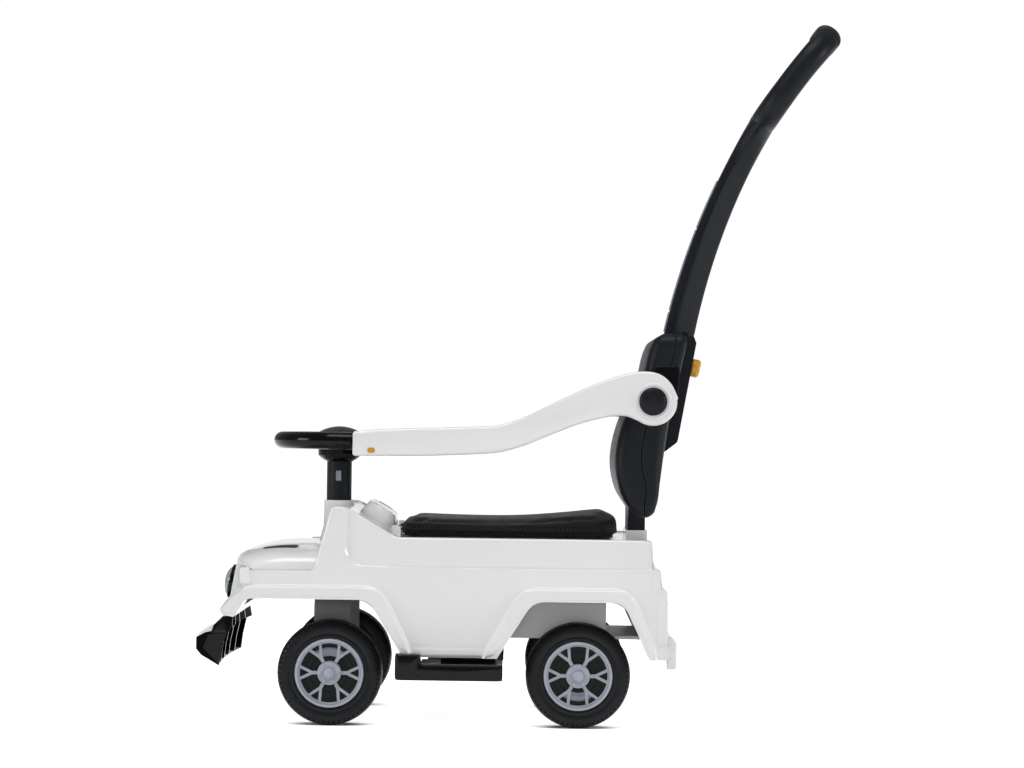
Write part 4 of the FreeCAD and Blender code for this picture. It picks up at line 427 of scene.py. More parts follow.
# %% Backrest halves
back_low, back_high = box_mm("backrest_front")
back_rear = box_mm("backrest_rear")[1][0]
BACK_FRONT_SHARES = ((0.0, 0.34), (0.02, 0.28), (0.06, 0.2), (0.12, 0.1), (0.2, 0.03), (0.28, 0.0),
                     (0.36, 0.01), (0.48, 0.075), (0.65, 0.245), (0.8, 0.405), (0.88, 0.448), (0.94, 0.5),
                     (0.975, 0.555), (1.0, 0.66))
BACK_PARTING_SHARES = ((0.0, 0.42), (0.08, 0.42), (0.16, 0.44), (0.24, 0.39), (0.32, 0.365), (0.48, 0.42),
                       (0.66, 0.58), (0.86, 0.79), (0.98, 0.84), (1.0, 0.84))
BACK_REAR_SHARES = ((0.0, 0.47), (0.015, 0.53), (0.06, 0.585), (0.19, 0.637), (0.36, 0.695), (0.565, 0.775),
                    (0.84, 0.93), (0.92, 0.975), (0.97, 0.985), (0.99, 0.96), (1.0, 0.9))
BACK_ROUND_MM = 15
BACK_SEAM_MM = 0.3
BACK_SEAM_EDGE_MM = 0.8
BACK_LEAST_MM = 1
BACK_CORNER_STEPS = 8
BACK_ROWS = 72


def back_half(name, shares, forward_half):
    """Level sections from the parting edge to the outer edge. The width closes in a quarter round at both
    ends."""
    share = crowded_ends(BACK_ROWS)
    depth = back_rear - back_low[0]
    level = back_low[2] + share * (back_high[2] - back_low[2])
    outer = back_low[0] + depth * smooth_through(shares, share)[:, 0]
    parting = back_low[0] + depth * smooth_through(BACK_PARTING_SHARES, share)[:, 0]
    to_end = np.minimum(level - back_low[2], back_high[2] - level)
    near_end = np.clip(1 - to_end / BACK_ROUND_MM, 0, 1)
    half_width = back_high[1] - BACK_ROUND_MM * (1 - np.sqrt(1 - near_end ** 2))
    if forward_half:
        low_x, high_x = np.minimum(outer, parting - BACK_LEAST_MM), parting - BACK_SEAM_MM
        radii = (BACK_ROUND_MM, BACK_SEAM_EDGE_MM, BACK_SEAM_EDGE_MM, BACK_ROUND_MM)
    else:
        low_x, high_x = parting + BACK_SEAM_MM, np.maximum(outer, parting + BACK_LEAST_MM)
        radii = (BACK_SEAM_EDGE_MM, BACK_ROUND_MM, BACK_ROUND_MM, BACK_SEAM_EDGE_MM)
    section = rounded_rows(low_x, high_x, -half_width, half_width, radii, BACK_CORNER_STEPS)
    heights = np.repeat(level[:, None], section.shape[1], axis=1)
    return grid_piece(name, np.stack([section[..., 0], section[..., 1], heights], axis=-1))


dress(back_half("backrest_front_half", BACK_FRONT_SHARES, True), "black_satin", "car", "backrest_front")
dress(back_half("backrest_rear_half", BACK_REAR_SHARES, False), "black_satin", "car", "backrest_rear")
print("backrest", [round(side) for side in back_high - back_low], "mm")

# %% [markdown]
# ## Push handle
# A parent pushes the car with one long curved post that ends in a closed loop. The post is a hollow
# moulding with a groove down each side. It is one section carried along an arc: the section's points are
# shares of the half depth and the half width, which change slowly on the way up. The loop is the same idea
# on a closed path.

# %% Handle
HANDLE_LEAN_DEG = 11.5
HANDLE_TURN_DEG = 18.5
HANDLE_BEND_MM = 900
HANDLE_FOOT = np.array([199.0, 0, box_mm("handle_socket")[1][2] + 1.0])
POST_SECTION_SHARES = ((-1, 0), (-1, 0.55), (-0.97, 0.74), (-0.9, 0.84), (-0.64, 0.88), (-0.57, 0.89),
                       (-0.53, 0.99), (-0.44, 1.02), (-0.3, 0.96), (0, 0.79), (0.3, 0.62), (0.6, 0.45),
                       (0.78, 0.34), (0.9, 0.22), (0.97, 0.11), (1, 0))
POST_HALF_SIZES_MM = ((0.0, 19.0, 17.0), (0.5, 16.8, 17.4), (0.7, 16.0, 17.8), (0.8, 15.8, 19.0),
                      (0.86, 15.8, 22.0), (0.92, 15.9, 30.5), (0.96, 15.9, 43.0), (1.0, 15.6, 56.0))
POST_START_SHARE = -0.03
POST_ROWS = 93
POST_ROUND_FROM = 0.72
POST_ROUND_POWER = 0.7
POST_BLEND_POWER = 1.5


def leaning(angle):
    """Up and back for what leans back by an angle: up lies along sine and cosine, back is square to it."""
    flat = np.zeros_like(angle)
    up = np.stack([np.sin(angle), flat, np.cos(angle)], axis=-1)
    back = np.stack([np.cos(angle), flat, -np.sin(angle)], axis=-1)
    return up, back


def leaning_arc(foot, radius, start, lean):
    """Arc that starts at a foot with one lean and leans further back as it climbs: the foot plus the radius
    times the difference of the two back directions."""
    return foot + radius * (leaning(start)[1] - leaning(lean)[1])


def post_line(share):
    """Middle line of the post, share 0 at the socket's mouth and 1 at the loop, and its back direction."""
    start = np.radians(HANDLE_LEAN_DEG)
    lean = start + np.radians(share * HANDLE_TURN_DEG)
    return leaning_arc(HANDLE_FOOT, HANDLE_BEND_MM, start, lean), leaning(lean)[1]


def both_halves(half):
    """A half section and its mirror image, without the two points that they share."""
    return np.concatenate([half, half[-2:0:-1] * (1, -1)])


grooved = both_halves(np.array(POST_SECTION_SHARES, float))
half_turn = np.linspace(0, np.pi, len(POST_SECTION_SHARES))
plain = both_halves(np.stack([-np.cos(half_turn), np.sin(half_turn) ** POST_ROUND_POWER], axis=-1))
share = np.linspace(POST_START_SHARE, 1, POST_ROWS)
line, back = post_line(share)
rounder = np.clip((share - POST_ROUND_FROM) / (1 - POST_ROUND_FROM), 0, 1)[:, None, None] ** POST_BLEND_POWER
sections = smooth_through(POST_HALF_SIZES_MM, share)[:, None, :] * (grooved + rounder * (plain - grooved))
post = carried(line, sections, back, SIDEWAYS)
post[..., 2] = np.maximum(post[..., 2], HANDLE_FOOT[2])
dress(grid_piece("handle_post_moulding", post), "black_satin", "handle", "handle_post")
print("post rows", len(share), "columns", len(grooved))

# %% Handle plug
PLUG_MM = 100
PLUG_HALF_MM = 12
PLUG_EDGE_MM = 2.0
PLUG_ROWS = ((-PLUG_MM, 0.8), (3 - PLUG_MM, 1.0), (0.0, 1.0), (6.0, 1.0))
plug_rows = np.array(PLUG_ROWS)
plug_half = PLUG_HALF_MM * plug_rows[:, 1]
plug_plan = rounded_rows(-plug_half, plug_half, -plug_half, plug_half, (PLUG_EDGE_MM,) * 4, 5)
foot_up, foot_back = leaning(np.radians(HANDLE_LEAN_DEG))
plug = carried(HANDLE_FOOT + plug_rows[:, :1] * foot_up, plug_plan, foot_back, SIDEWAYS)
dress(grid_piece("handle_plug", plug), "black_satin", "handle")
print("plug", PLUG_MM, "mm deep")

# %% Handle loop
LOOP_LEAN_DEG = 37
LOOP_TURN_DEG = 10
LOOP_HALF_MM = 64
LOOP_HEIGHT_MM = 132
LOOP_ROUND_MM = 42
LOOP_WIDTH_MM = 13.5
LOOP_DEPTH_MM = 15.8
CORNER_STEPS = 16
RUN_STEPS = 10


def rounded_loop(half, height, radius):
    """Closed middle line in local Y and Z: four quarter arcs whose ends are joined by straight runs."""
    turn = np.linspace(0, np.pi / 2, CORNER_STEPS)
    centres = ((half - radius, radius, -90), (half - radius, height - radius, 0),
               (radius - half, height - radius, 90), (radius - half, radius, 180))
    arcs = [np.stack([y + radius * np.cos(turn + math.radians(start)),
                      z + radius * np.sin(turn + math.radians(start))], axis=-1) for y, z, start in centres]
    runs = [np.linspace(arcs[i][-1], arcs[(i + 1) % 4][0], RUN_STEPS)[1:-1] for i in range(4)]
    return np.concatenate([part for pair in zip(arcs, runs) for part in pair])


ring = rounded_loop(LOOP_HALF_MM, LOOP_HEIGHT_MM, LOOP_ROUND_MM)
along = headings(ring)
tilt = np.radians(LOOP_LEAN_DEG + LOOP_TURN_DEG * (ring[:, 1] / LOOP_HEIGHT_MM - 0.5))
upward, backward = leaning(tilt)
first = np.radians(LOOP_LEAN_DEG - LOOP_TURN_DEG / 2)
bend = LOOP_HEIGHT_MM / math.radians(LOOP_TURN_DEG)
middle = leaning_arc(line[-1], bend, first, tilt) + ring[:, :1] * SIDEWAYS
outward = along[:, 1:] * SIDEWAYS - along[:, :1] * upward
turn = np.linspace(0, 2 * np.pi, 28, endpoint=False)
oval = np.stack([LOOP_WIDTH_MM * np.cos(turn), LOOP_DEPTH_MM * np.sin(turn)], axis=-1)[None]
loop = joined_up(carried(middle, oval, outward, backward))
dress(grid_piece("handle_loop_tube", loop, caps=False), "black_satin", "handle")
print("loop points", len(ring))

# %% [markdown]
# The bar at the top of the loop has a soft sleeve with a swelling for the fingers on its front, and a
# narrow rail in three lengths runs up the front of the post. Both follow lines that are already there.

# %% Grip sleeve and post rail
GRIP_WALL_MM = 0.3
GRIP_SWELL_MM = 3.4
GRIP_LUMPS = 4
GRIP_END_SHARE = 0.06
RAIL_SPANS = ((0.005, 0.09), (0.1, 0.46), (0.47, 0.69))
RAIL_HALF_MM = 6.0
RAIL_PROUD_MM = 1.6
RAIL_ROUND_MM = (1, 0.3, 0.3, 1)
top_tilt = np.radians(LOOP_LEAN_DEG + LOOP_TURN_DEG / 2)
top_middle = leaning_arc(line[-1], bend, first, top_tilt)
reach = np.linspace(-1, 1, 61)
past = np.clip((np.abs(reach) - 1 + GRIP_END_SHARE) / GRIP_END_SHARE, 0, 1)
end_round = np.sqrt(np.clip(1 - past ** 2, 0, 1))
lumps = 0.75 + 0.25 * np.cos(reach * GRIP_LUMPS * np.pi)
front = np.clip(-np.sin(turn), 0, 1) ** 2
swell_mm = GRIP_WALL_MM * end_round[:, None] + GRIP_SWELL_MM * (end_round * lumps)[:, None] * front
sleeve_section = np.stack([(LOOP_WIDTH_MM + swell_mm) * np.cos(turn),
                           (LOOP_DEPTH_MM + swell_mm) * np.sin(turn)], axis=-1)
sleeve_line = top_middle + (reach * box_mm("handle_grip")[1][1])[:, None] * SIDEWAYS
sleeve = carried(sleeve_line, sleeve_section, *leaning(top_tilt))
dress(grid_piece("handle_grip_sleeve", sleeve), "grip_rubber", "handle", "handle_grip")
for number, (low, high) in enumerate(RAIL_SPANS):
    part = np.linspace(low, high, 30)
    rail_line, rail_back = post_line(part)
    depth = smooth_through(POST_HALF_SIZES_MM, part)[:, 0]
    section = rounded_rows(-depth - RAIL_PROUD_MM, 1 - depth, -RAIL_HALF_MM, RAIL_HALF_MM, RAIL_ROUND_MM, 4)
    rail = carried(rail_line, section, rail_back, SIDEWAYS)
    dress(grid_piece("handle_rail_" + str(number + 1), rail), "snap_grey", "handle")
print("grip sleeve and", len(RAIL_SPANS), "rail lengths")

# %% [markdown]
# ## Tyres
# The tyres are hollow blow moulded shells. From the side they show a bead at the rim, a fine groove, a
# smooth wall and a row of short ticks at the shoulder. A lathe could turn the section, but the ticks need a
# shape that changes with the angle, so the wall's depth is a function of both the place on the section and
# the angle.

# %% Tyres
TYRE_SECTION_SHARES = ((0.0, 0.6), (0.0, 0.9), (0.03, 0.97), (0.08, 1.0), (0.2, 1.0), (0.24, 0.97),
                       (0.29, 0.97), (0.33, 0.995), (0.58, 0.99), (0.68, 0.968), (0.73, 0.952), (0.75, 0.943),
                       (0.85, 0.9), (0.87, 0.885), (0.92, 0.83), (0.96, 0.74), (0.99, 0.6), (1.0, 0.42),
                       (1.0, 0.22), (0.97, 0.18), (0.97, 0.1), (1.0, 0.06), (1.0, 0.0))
TYRE_GAP_MM = 0.2
TICK_COUNT = 60
TICK_MM = 1.1
TICK_SHARE = 0.33
TICK_SPAN_SHARES = (0.74, 0.86)
COLUMNS_PER_TICK = 6
WHEELS = ("front_left", "front_right", "rear_left", "rear_right")


def tyre(name, node, bore_radius):
    """Section shares turned round the axle; a tick dents the shoulder inwards for a third of each pitch."""
    low, high = box_mm(node)
    centre = (low + high) / 2
    radius, half = (high[0] - low[0]) / 2, (high[1] - low[1]) / 2
    half_shape = np.array(TYRE_SECTION_SHARES, float)
    shape = np.concatenate([half_shape, half_shape[-2::-1] * (1, -1)])
    r = bore_radius + shape[:, 0] * (radius - bore_radius)
    pitch = np.arange(TICK_COUNT * COLUMNS_PER_TICK) / COLUMNS_PER_TICK
    angle = pitch / TICK_COUNT * 2 * np.pi
    cut = ((pitch % 1) < TICK_SHARE).astype(float)
    shoulder = (shape[:, 0] > TICK_SPAN_SHARES[0]) & (shape[:, 0] < TICK_SPAN_SHARES[1])
    shoulder = shoulder * np.sign(shape[:, 1])
    y = (shape[:, 1] * half)[:, None] - TICK_MM * shoulder[:, None] * cut[None, :]
    points = np.stack([centre[0] + r[:, None] * np.cos(angle), centre[1] + y,
                       centre[2] + r[:, None] * np.sin(angle)], axis=-1)
    return grid_piece(name, joined_up(points), caps=False)


for wheel in WHEELS:
    cover_low, cover_high = box_mm(wheel + "_cover")
    bore_radius = (cover_high[0] - cover_low[0]) / 2 + TYRE_GAP_MM
    ticked = tyre(wheel + "_ticked_tyre", wheel + "_tyre", bore_radius)
    dress(ticked, "tyre_black", wheel + "_wheel", wheel + "_tyre")
print("tyres:", len(WHEELS))

# %% [markdown]
# ## Inside the wheels
# Between the spokes one looks at a dark dish with turned rings and at a grey block shaped like a brake
# caliper, which sits at the top of the front wheels and at the bottom of the rear ones. The hub ends in a
# dome. All of them are sections turned round the axle: the rings and the dome all the way, the caliper for
# part of a turn.

# %% Dish rings, calipers and hub domes
RING_RADII_MM = (10.0, 40.5)
RING_STEPS = 62
RING_PITCH_MM = 7.6
RING_DEPTH_MM = 1.2
RING_FLOOR_MM = 0.4
RING_HALF_SHARE = 0.3
SUNK_MM = -0.5
CALIPER_SECTION_MM = ((20.5, 0.0), (20.5, 2.2), (21.5, 3.0), (24.0, 3.0), (24.5, 3.8), (28.0, 3.8),
                      (30.0, 3.2), (31.0, 2.2), (31.0, 0.0))
CALIPER_HALF_DEG = 38
DOME_RADIUS_MM = 7.4
DOME_RISE_MM = 5.6
DOME_BASE_MM = 0.3
COLLAR_SECTION_MM = ((14.2, -2.0), (14.2, 2.0), (13.5, 2.7), (12.9, 2.6), (8.4, 0.2), (7.6, 0.2))
NUT_COUNT = 6
NUT_PLACE_MM = 10.9
NUT_SECTION_MM = ((1.7, -0.5), (1.7, 1.2), (1.7, 2.6), (1.19, 3.1), (0.01, 3.2))
LIP_SECTION_MM = ((38.4, -0.5), (38.7, 1.0), (41.2, 1.0), (41.9, 0.3), (41.9, -0.5))
POLE_MM = 0.01


def turned(name, centre, side, section, angles):
    """Section of radii and outward depths, carried round the axle through the given angles. A whole turn
    closes on itself, and part of a turn is closed by its two end faces."""
    radii, depths = np.array(section, float).T[:, :, None]
    depths = np.broadcast_to(side * depths, (len(depths), len(angles)))
    points = np.stack([centre[0] + radii * np.cos(angles), centre[1] + depths,
                       centre[2] + radii * np.sin(angles)], axis=-1)
    if np.ptp(angles) > np.pi:
        return grid_piece(name, points, caps=False)
    return grid_piece(name, points.transpose(1, 0, 2))


def whole_turn(columns):
    """Angles of a whole turn, without the last, which is the first again."""
    return np.linspace(0, 2 * np.pi, columns, endpoint=False)


def ringed_section():
    """Level that steps up and down with the radius, closed underneath."""
    radii = np.linspace(*RING_RADII_MM, RING_STEPS)
    level = RING_FLOOR_MM + RING_DEPTH_MM * (np.abs(radii / RING_PITCH_MM % 1 - 0.5) < RING_HALF_SHARE)
    top = np.stack([radii, level], axis=-1)
    return joined_up(np.concatenate([[(radii[0], SUNK_MM)], top, [(radii[-1], SUNK_MM)]]))


def domed_section():
    """Coned collar from the outside in, then a quarter of an oval up to the pole."""
    arc = np.linspace(np.pi / 2, 0, 14)
    radii = np.maximum(DOME_RADIUS_MM * np.sin(arc), POLE_MM)
    dome = np.stack([radii, DOME_RISE_MM * np.cos(arc) + DOME_BASE_MM], axis=-1)
    return np.concatenate([COLLAR_SECTION_MM, dome])


for wheel in WHEELS:
    low, high = box_mm(wheel + "_cover")
    side = -1 if wheel.endswith("left") else 1
    face, rear = (high[1], low[1]) if side > 0 else (low[1], high[1])
    dish = np.array([(low[0] + high[0]) / 2, rear, (low[2] + high[2]) / 2])
    hub = np.array([dish[0], face, dish[2]])
    caliper_deg = 90 if wheel.startswith("front") else 270
    caliper_turn = np.radians(caliper_deg + CALIPER_HALF_DEG * np.linspace(-1, 1, 25))
    parts = [("dish_rings", "dish_dark", dish, ringed_section(), whole_turn(96)),
             ("caliper_block", "snap_grey", dish, CALIPER_SECTION_MM, caliper_turn),
             ("hub_dome", "rim_silver", hub, domed_section(), whole_turn(96))]
    for number in range(NUT_COUNT):
        place = 2 * math.pi * number / NUT_COUNT
        seat = hub + NUT_PLACE_MM * np.array([math.cos(place), 0, math.sin(place)])
        parts.append(("hub_nut_" + str(number + 1), "rim_silver", seat, NUT_SECTION_MM, whole_turn(12)))
    parts.append(("rim_lip", "rim_silver", hub, joined_up(np.array(LIP_SECTION_MM)), whole_turn(96)))
    for part, slot, place, section, angles in parts:
        dress(turned(wheel + "_" + part, place, side, section, angles), slot, wheel + "_wheel")
print("rings, calipers and domes for", len(WHEELS), "wheels")

# %% [markdown]
# ## Front fork
# The fork is a stamped strap bent over the front axle: two plates joined by a bridge, with rounded bends.
# One rounded section is carried along that bent line.

# %% Fork
FORK_WIDTH_MM = 45.5
FORK_WALL_MM = 5.0
FORK_BEND_MM = 14.0
FORK_EDGE_MM = 1.2
fork_low, fork_high = box_mm("front_fork")
fork_x = (fork_low[0] + fork_high[0]) / 2
reach_y, top_z = fork_high[1] - FORK_WALL_MM / 2, fork_high[2] - FORK_WALL_MM / 2
quarter = np.linspace(0, np.pi / 2, 9)
up_side = np.stack([np.full(12, -reach_y), np.linspace(fork_low[2], top_z - FORK_BEND_MM, 12)], axis=-1)
corner = np.stack([-reach_y + FORK_BEND_MM * (1 - np.cos(quarter)),
                   top_z - FORK_BEND_MM * (1 - np.sin(quarter))], axis=-1)
strap = np.concatenate([up_side[:-1], corner, (corner * (-1, 1))[::-1], (up_side * (-1, 1))[::-1][1:]])
heading = np.gradient(strap, axis=0)
heading /= np.linalg.norm(heading, axis=1, keepdims=True)
zeros = np.zeros(len(strap))
fork_line = np.stack([zeros + fork_x, strap[:, 0], strap[:, 1]], axis=-1)
fork_normal = np.stack([zeros, -heading[:, 1], heading[:, 0]], axis=-1)
fork_section = rounded_rows(-FORK_WALL_MM / 2, FORK_WALL_MM / 2, -FORK_WIDTH_MM / 2, FORK_WIDTH_MM / 2,
                            (FORK_EDGE_MM,) * 4, 5)
fork_points = carried(fork_line, fork_section, fork_normal, (1, 0, 0))
dress(grid_piece("front_fork_strap", fork_points), "fork_grey", "steering", "front_fork")
print("fork", FORK_WIDTH_MM, "mm wide")

# %% [markdown]
# ## Padded seat
# The seat is foam under artificial leather, stapled to its base: the top is crowned, the sides pull in
# between the corners, and a welt runs round the foot. The form starts a little small as a numpy surface,
# rounded in plan and crowned on top. Cloth with inner pressure then swells it, so that the cover gets the
# slight unevenness that a modelled shape lacks. The swelling is capped, so the seat keeps its place in the
# frame.

# %% Seat form
seat_low, seat_high = box_mm("seat_cushion")
SEAT_CORNER_MM = 26
SEAT_CORNER_STEPS = 14
SEAT_RUN_STEPS = 12
SEAT_SIDE_PULL_MM = 2.5
SEAT_SHRINK_MM = 1.6
SEAT_REACH_MM = 2.6
SEAT_FOOT_Z = 233.0
SEAT_EDGE_Z = ((0.0, 246.0), (0.1, 245.6), (0.3, 244.5), (0.6, 245.5), (0.85, 250.5), (1.0, 252.5))
SEAT_CROWN_Z = ((0.0, 251.5), (0.1, 250.4), (0.25, 249.2), (0.55, 249.5), (0.8, 255.0), (0.94, 259.0),
                (1.0, 259.0))
SEAT_CROWN_POWER = 2.4
VOXEL_MM = 5
SWELL_CAP_MM = 5
SWELL_PRESSURE = 4
SWELL_FRAMES = 20
SINK_MM = 0.6


def seat_form(name):
    """Rounded rectangle in plan, drawn in along the sides, times a profile that runs from the middle of the
    underside out to the foot, up the side, over a soft edge and in to the middle of the top."""
    low_x, high_x = seat_low[0] - SEAT_REACH_MM, seat_high[0] + SEAT_REACH_MM
    half = seat_high[1] - SEAT_SHRINK_MM
    plan = rounded_rows(low_x, high_x, -half, half, (SEAT_CORNER_MM,) * 4, SEAT_CORNER_STEPS)[0]
    plan = np.concatenate([np.linspace(plan[i], plan[(i + 1) % len(plan)], SEAT_RUN_STEPS, endpoint=False)
                           if (i + 1) % SEAT_CORNER_STEPS == 0 else plan[i:i + 1] for i in range(len(plan))])
    middle = np.array([(low_x + high_x) / 2, 0.0])
    along = (plan[:, 0] - low_x) / (high_x - low_x)
    across = plan[:, 1] / half
    drawn_in = np.sin(np.pi * along) * np.abs(across) ** 8 + (1 - across ** 2) * (along < 0.02)
    pull = SEAT_SIDE_PULL_MM * drawn_in
    plan = plan - pull[:, None] * (plan - middle) / np.linalg.norm(plan - middle, axis=1, keepdims=True)
    inset = np.array([1.0, 0.6, 0.1, 0.03, 0.0, 0.0, 0.0, 0.006, 0.025, 0.06, 0.12, 0.25, 0.4, 0.6, 0.8, 1.0])
    climb = np.array([0.0, 0.0, 0.0, 0.05, 0.2, 0.5, 0.75, 0.9, 1.0, 1.0, 1.0, 1.0, 1.0, 1.0, 1.0, 1.0])
    spots = middle + (plan[None, :, :] - middle) * (1 - inset[:, None, None] * 0.999)
    share = (spots[..., 0] - low_x) / (high_x - low_x)
    edge_z = smooth_through(SEAT_EDGE_Z, share.ravel())[:, 0].reshape(share.shape)
    crown_z = smooth_through(SEAT_CROWN_Z, share.ravel())[:, 0].reshape(share.shape)
    bulge = (crown_z - edge_z) * (1 - np.abs(spots[..., 1] / half) ** SEAT_CROWN_POWER)
    z = SEAT_FOOT_Z + climb[:, None] * (edge_z + bulge - SEAT_FOOT_Z)
    return grid_piece(name, np.concatenate([spots, z[..., None]], axis=-1))


STAPLED_MM = 2.0
ROOM_MM = 1


def swell(piece):
    """Voxel remesh, then cloth with inner pressure; each point moves by the cap at most and hardly
    inwards, so that the edges stay full."""
    remesh = piece.modifiers.new("remesh", "REMESH")
    remesh.mode = "VOXEL"
    remesh.voxel_size = VOXEL_MM * MM
    with bpy.context.temp_override(object=piece, active_object=piece, selected_objects=[piece]):
        bpy.ops.object.modifier_apply(modifier="remesh")
    start = vectors_of(piece.data.vertices, "co")
    normals = vectors_of(piece.data.vertices, "normal")
    hold = piece.vertex_groups.new(name="stapled")
    stapled = np.flatnonzero(start[:, 2] < (SEAT_FOOT_Z + STAPLED_MM) * MM)
    hold.add(stapled.tolist(), 1.0, "ADD")
    cloth = piece.modifiers.new("cloth", "CLOTH")
    cloth.settings.use_pressure = True
    cloth.settings.uniform_pressure_force = SWELL_PRESSURE
    cloth.settings.vertex_group_mass = "stapled"
    cloth.settings.effector_weights.gravity = 0
    cloth.point_cache.frame_end = SWELL_FRAMES
    scene = bpy.context.scene
    for step in range(1, SWELL_FRAMES + 1):
        scene.frame_set(step)
    seen = piece.evaluated_get(bpy.context.evaluated_depsgraph_get())
    swollen = vectors_of(seen.data.vertices, "co")
    piece.modifiers.remove(cloth)
    scene.frame_set(1)
    move = swollen - start
    outward = (move * normals).sum(axis=1, keepdims=True)
    move = move + normals * np.maximum(-SINK_MM * MM - outward, 0)
    length = np.maximum(np.linalg.norm(move, axis=1, keepdims=True), 1e-9)
    moved = start + move / length * np.minimum(length, SWELL_CAP_MM * MM)
    low, high = seat_low * MM, seat_high * MM
    moved[:, 1] = np.clip(moved[:, 1], low[1], high[1])
    moved[:, 2] = np.clip(moved[:, 2], (SEAT_FOOT_Z - ROOM_MM) * MM, high[2] + ROOM_MM * MM)
    piece.data.vertices.foreach_set("co", moved.astype(np.float32).ravel())
    piece.data.update()
    print("cloth moved by up to", round(float(length.max()) / MM, 1), "mm, capped at", SWELL_CAP_MM)


seat_pad = seat_form("seat_pad")
swell(seat_pad)
fine = seat_pad.modifiers.new("fine", "SUBSURF")
fine.levels = 1
fine.render_levels = 1
seat_pad.data.shade_smooth()
dress(seat_pad, "seat_leather", "seat", "seat_cushion")
print("seat pad", [round(side) for side in seat_high - seat_low], "mm")

# %% Seat welt
WELT_MM = 1.5
WELT_Z = 238.5
WELT_OUT_MM = 2.4
WELT_IN_MM = 0.8
WELT_SUNK_MM = 1.2
plan = rounded_rows(seat_low[0] - WELT_OUT_MM, seat_high[0] + WELT_OUT_MM, seat_low[1] + WELT_IN_MM,
                    seat_high[1] - WELT_IN_MM, (SEAT_CORNER_MM,) * 4, 20)[0]
ahead = headings(plan)
level = np.zeros(len(plan))
sideward = np.stack([ahead[:, 1], -ahead[:, 0], level], axis=-1)
welt_line = np.stack([plan[:, 0], plan[:, 1], level + WELT_Z], axis=-1) - WELT_SUNK_MM * sideward
bead = np.linspace(0, 2 * np.pi, 10, endpoint=False)
bead = WELT_MM * np.stack([np.cos(bead), np.sin(bead)], axis=-1)[None]
welt = carried(welt_line, bead, sideward, (0, 0, 1))
dress(grid_piece("seat_welt", joined_up(welt), caps=False), "seat_leather", "seat")
print("welt of", WELT_MM * 2, "mm")

# %% [markdown]
# ## Body sides
# The white body is blow moulded, so every crease is a soft roll and the flares over the wheels grow out of
# the panel. The solid underneath has the right outline but flat faces. A skin covers each side: a grid
# between the lower and the upper outline, whose depth is a function of the distance to a few drawn lines.
# The flare rises near its own outline, the panel behind the pillar sinks in, a lip runs along the sill, and
# the skin rolls inwards at every edge.

# %% Lines of the side
BODY_TOP_LINE = ((-364, 140), (-355, 153), (-344, 164.5), (-334, 171.5), (-333, 189), (-250.5, 189),
                 (-229, 268), (-211, 267), (-150, 231), (161, 231), (163.5, 195.5), (172.5, 195.5),
                 (173, 171.5), (180.5, 171.5), (182, 87))
BODY_LOW_LINE = ((-364, 139.5), (-357, 134.5), (-346, 132), (-336, 151), (-324, 156), (-183, 155), (-140, 86),
                 (-26, 86), (17, 155), (127, 155), (159, 86), (182, 86))
FRONT_FLARE_LINE = ((-372, 134), (-334, 171), (-168, 171), (-127, 86), (-127, 60), (-372, 60))
REAR_FLARE_LINE = ((-45, 86), (3, 171), (135, 171), (170, 86), (170, 60), (-45, 60))
PANEL_LINE = ((-214, 300), (-214, 195), (175, 195), (175, 300))
SILL_LIP_LINE = ((-130, 60), (-130, 98), (-28, 98), (-28, 60))


def rounded_line(corners, radius, closed):
    """Drawn line with each corner replaced by a parabola that starts and ends one radius from the corner, or
    half a side away where the side is short."""
    corners = np.array(corners, float)
    count = len(corners)
    pieces = [] if closed else [corners[:1]]
    for i in range(count if closed else count - 2):
        before, here, after = corners[[(i - 1) % count, i, (i + 1) % count]] if closed else corners[i:i + 3]
        near = [here + (other - here) * min(0.5, radius / np.linalg.norm(other - here))
                for other in (before, after)]
        t = np.linspace(0, 1, 9)[:, None]
        pieces.append((1 - t) ** 2 * near[0] + 2 * t * (1 - t) * here + t * t * near[1])
    if not closed:
        pieces.append(corners[-1:])
    return np.concatenate(pieces)


def distance_to(line, x, z, closed=False):
    """Least distance from every grid point to the drawn line, span by span."""
    ends = np.roll(line, -1, axis=0) if closed else line[1:]
    starts = line if closed else line[:-1]
    least = np.full(x.shape, 1e9)
    for (ax, az), (bx, bz) in zip(starts, ends):
        length = max((bx - ax) ** 2 + (bz - az) ** 2, 1e-9)
        t = np.clip(((x - ax) * (bx - ax) + (z - az) * (bz - az)) / length, 0, 1)
        least = np.minimum(least, np.hypot(x - ax - t * (bx - ax), z - az - t * (bz - az)))
    return least


def inside(line, x, z):
    """True for grid points inside the closed line: an odd number of its spans lies above the point."""
    odd = np.zeros(x.shape, bool)
    for (ax, az), (bx, bz) in zip(line, np.roll(line, -1, axis=0)):
        crosses = (ax > x) != (bx > x)
        height = az + (x - ax) * (bz - az) / (bx - ax if bx != ax else 1e-9)
        odd ^= crosses & (z < height)
    return odd


def soft_step(distance, low, high):
    """0 below low, 1 above high, a smooth cubic between."""
    t = np.clip((distance - low) / (high - low), 0, 1)
    return t * t * (3 - 2 * t)


def signed(line, x, z):
    """Distance to a closed line, positive inside it."""
    return np.where(inside(line, x, z), 1, -1) * distance_to(line, x, z, True)


print("body side lines ready")

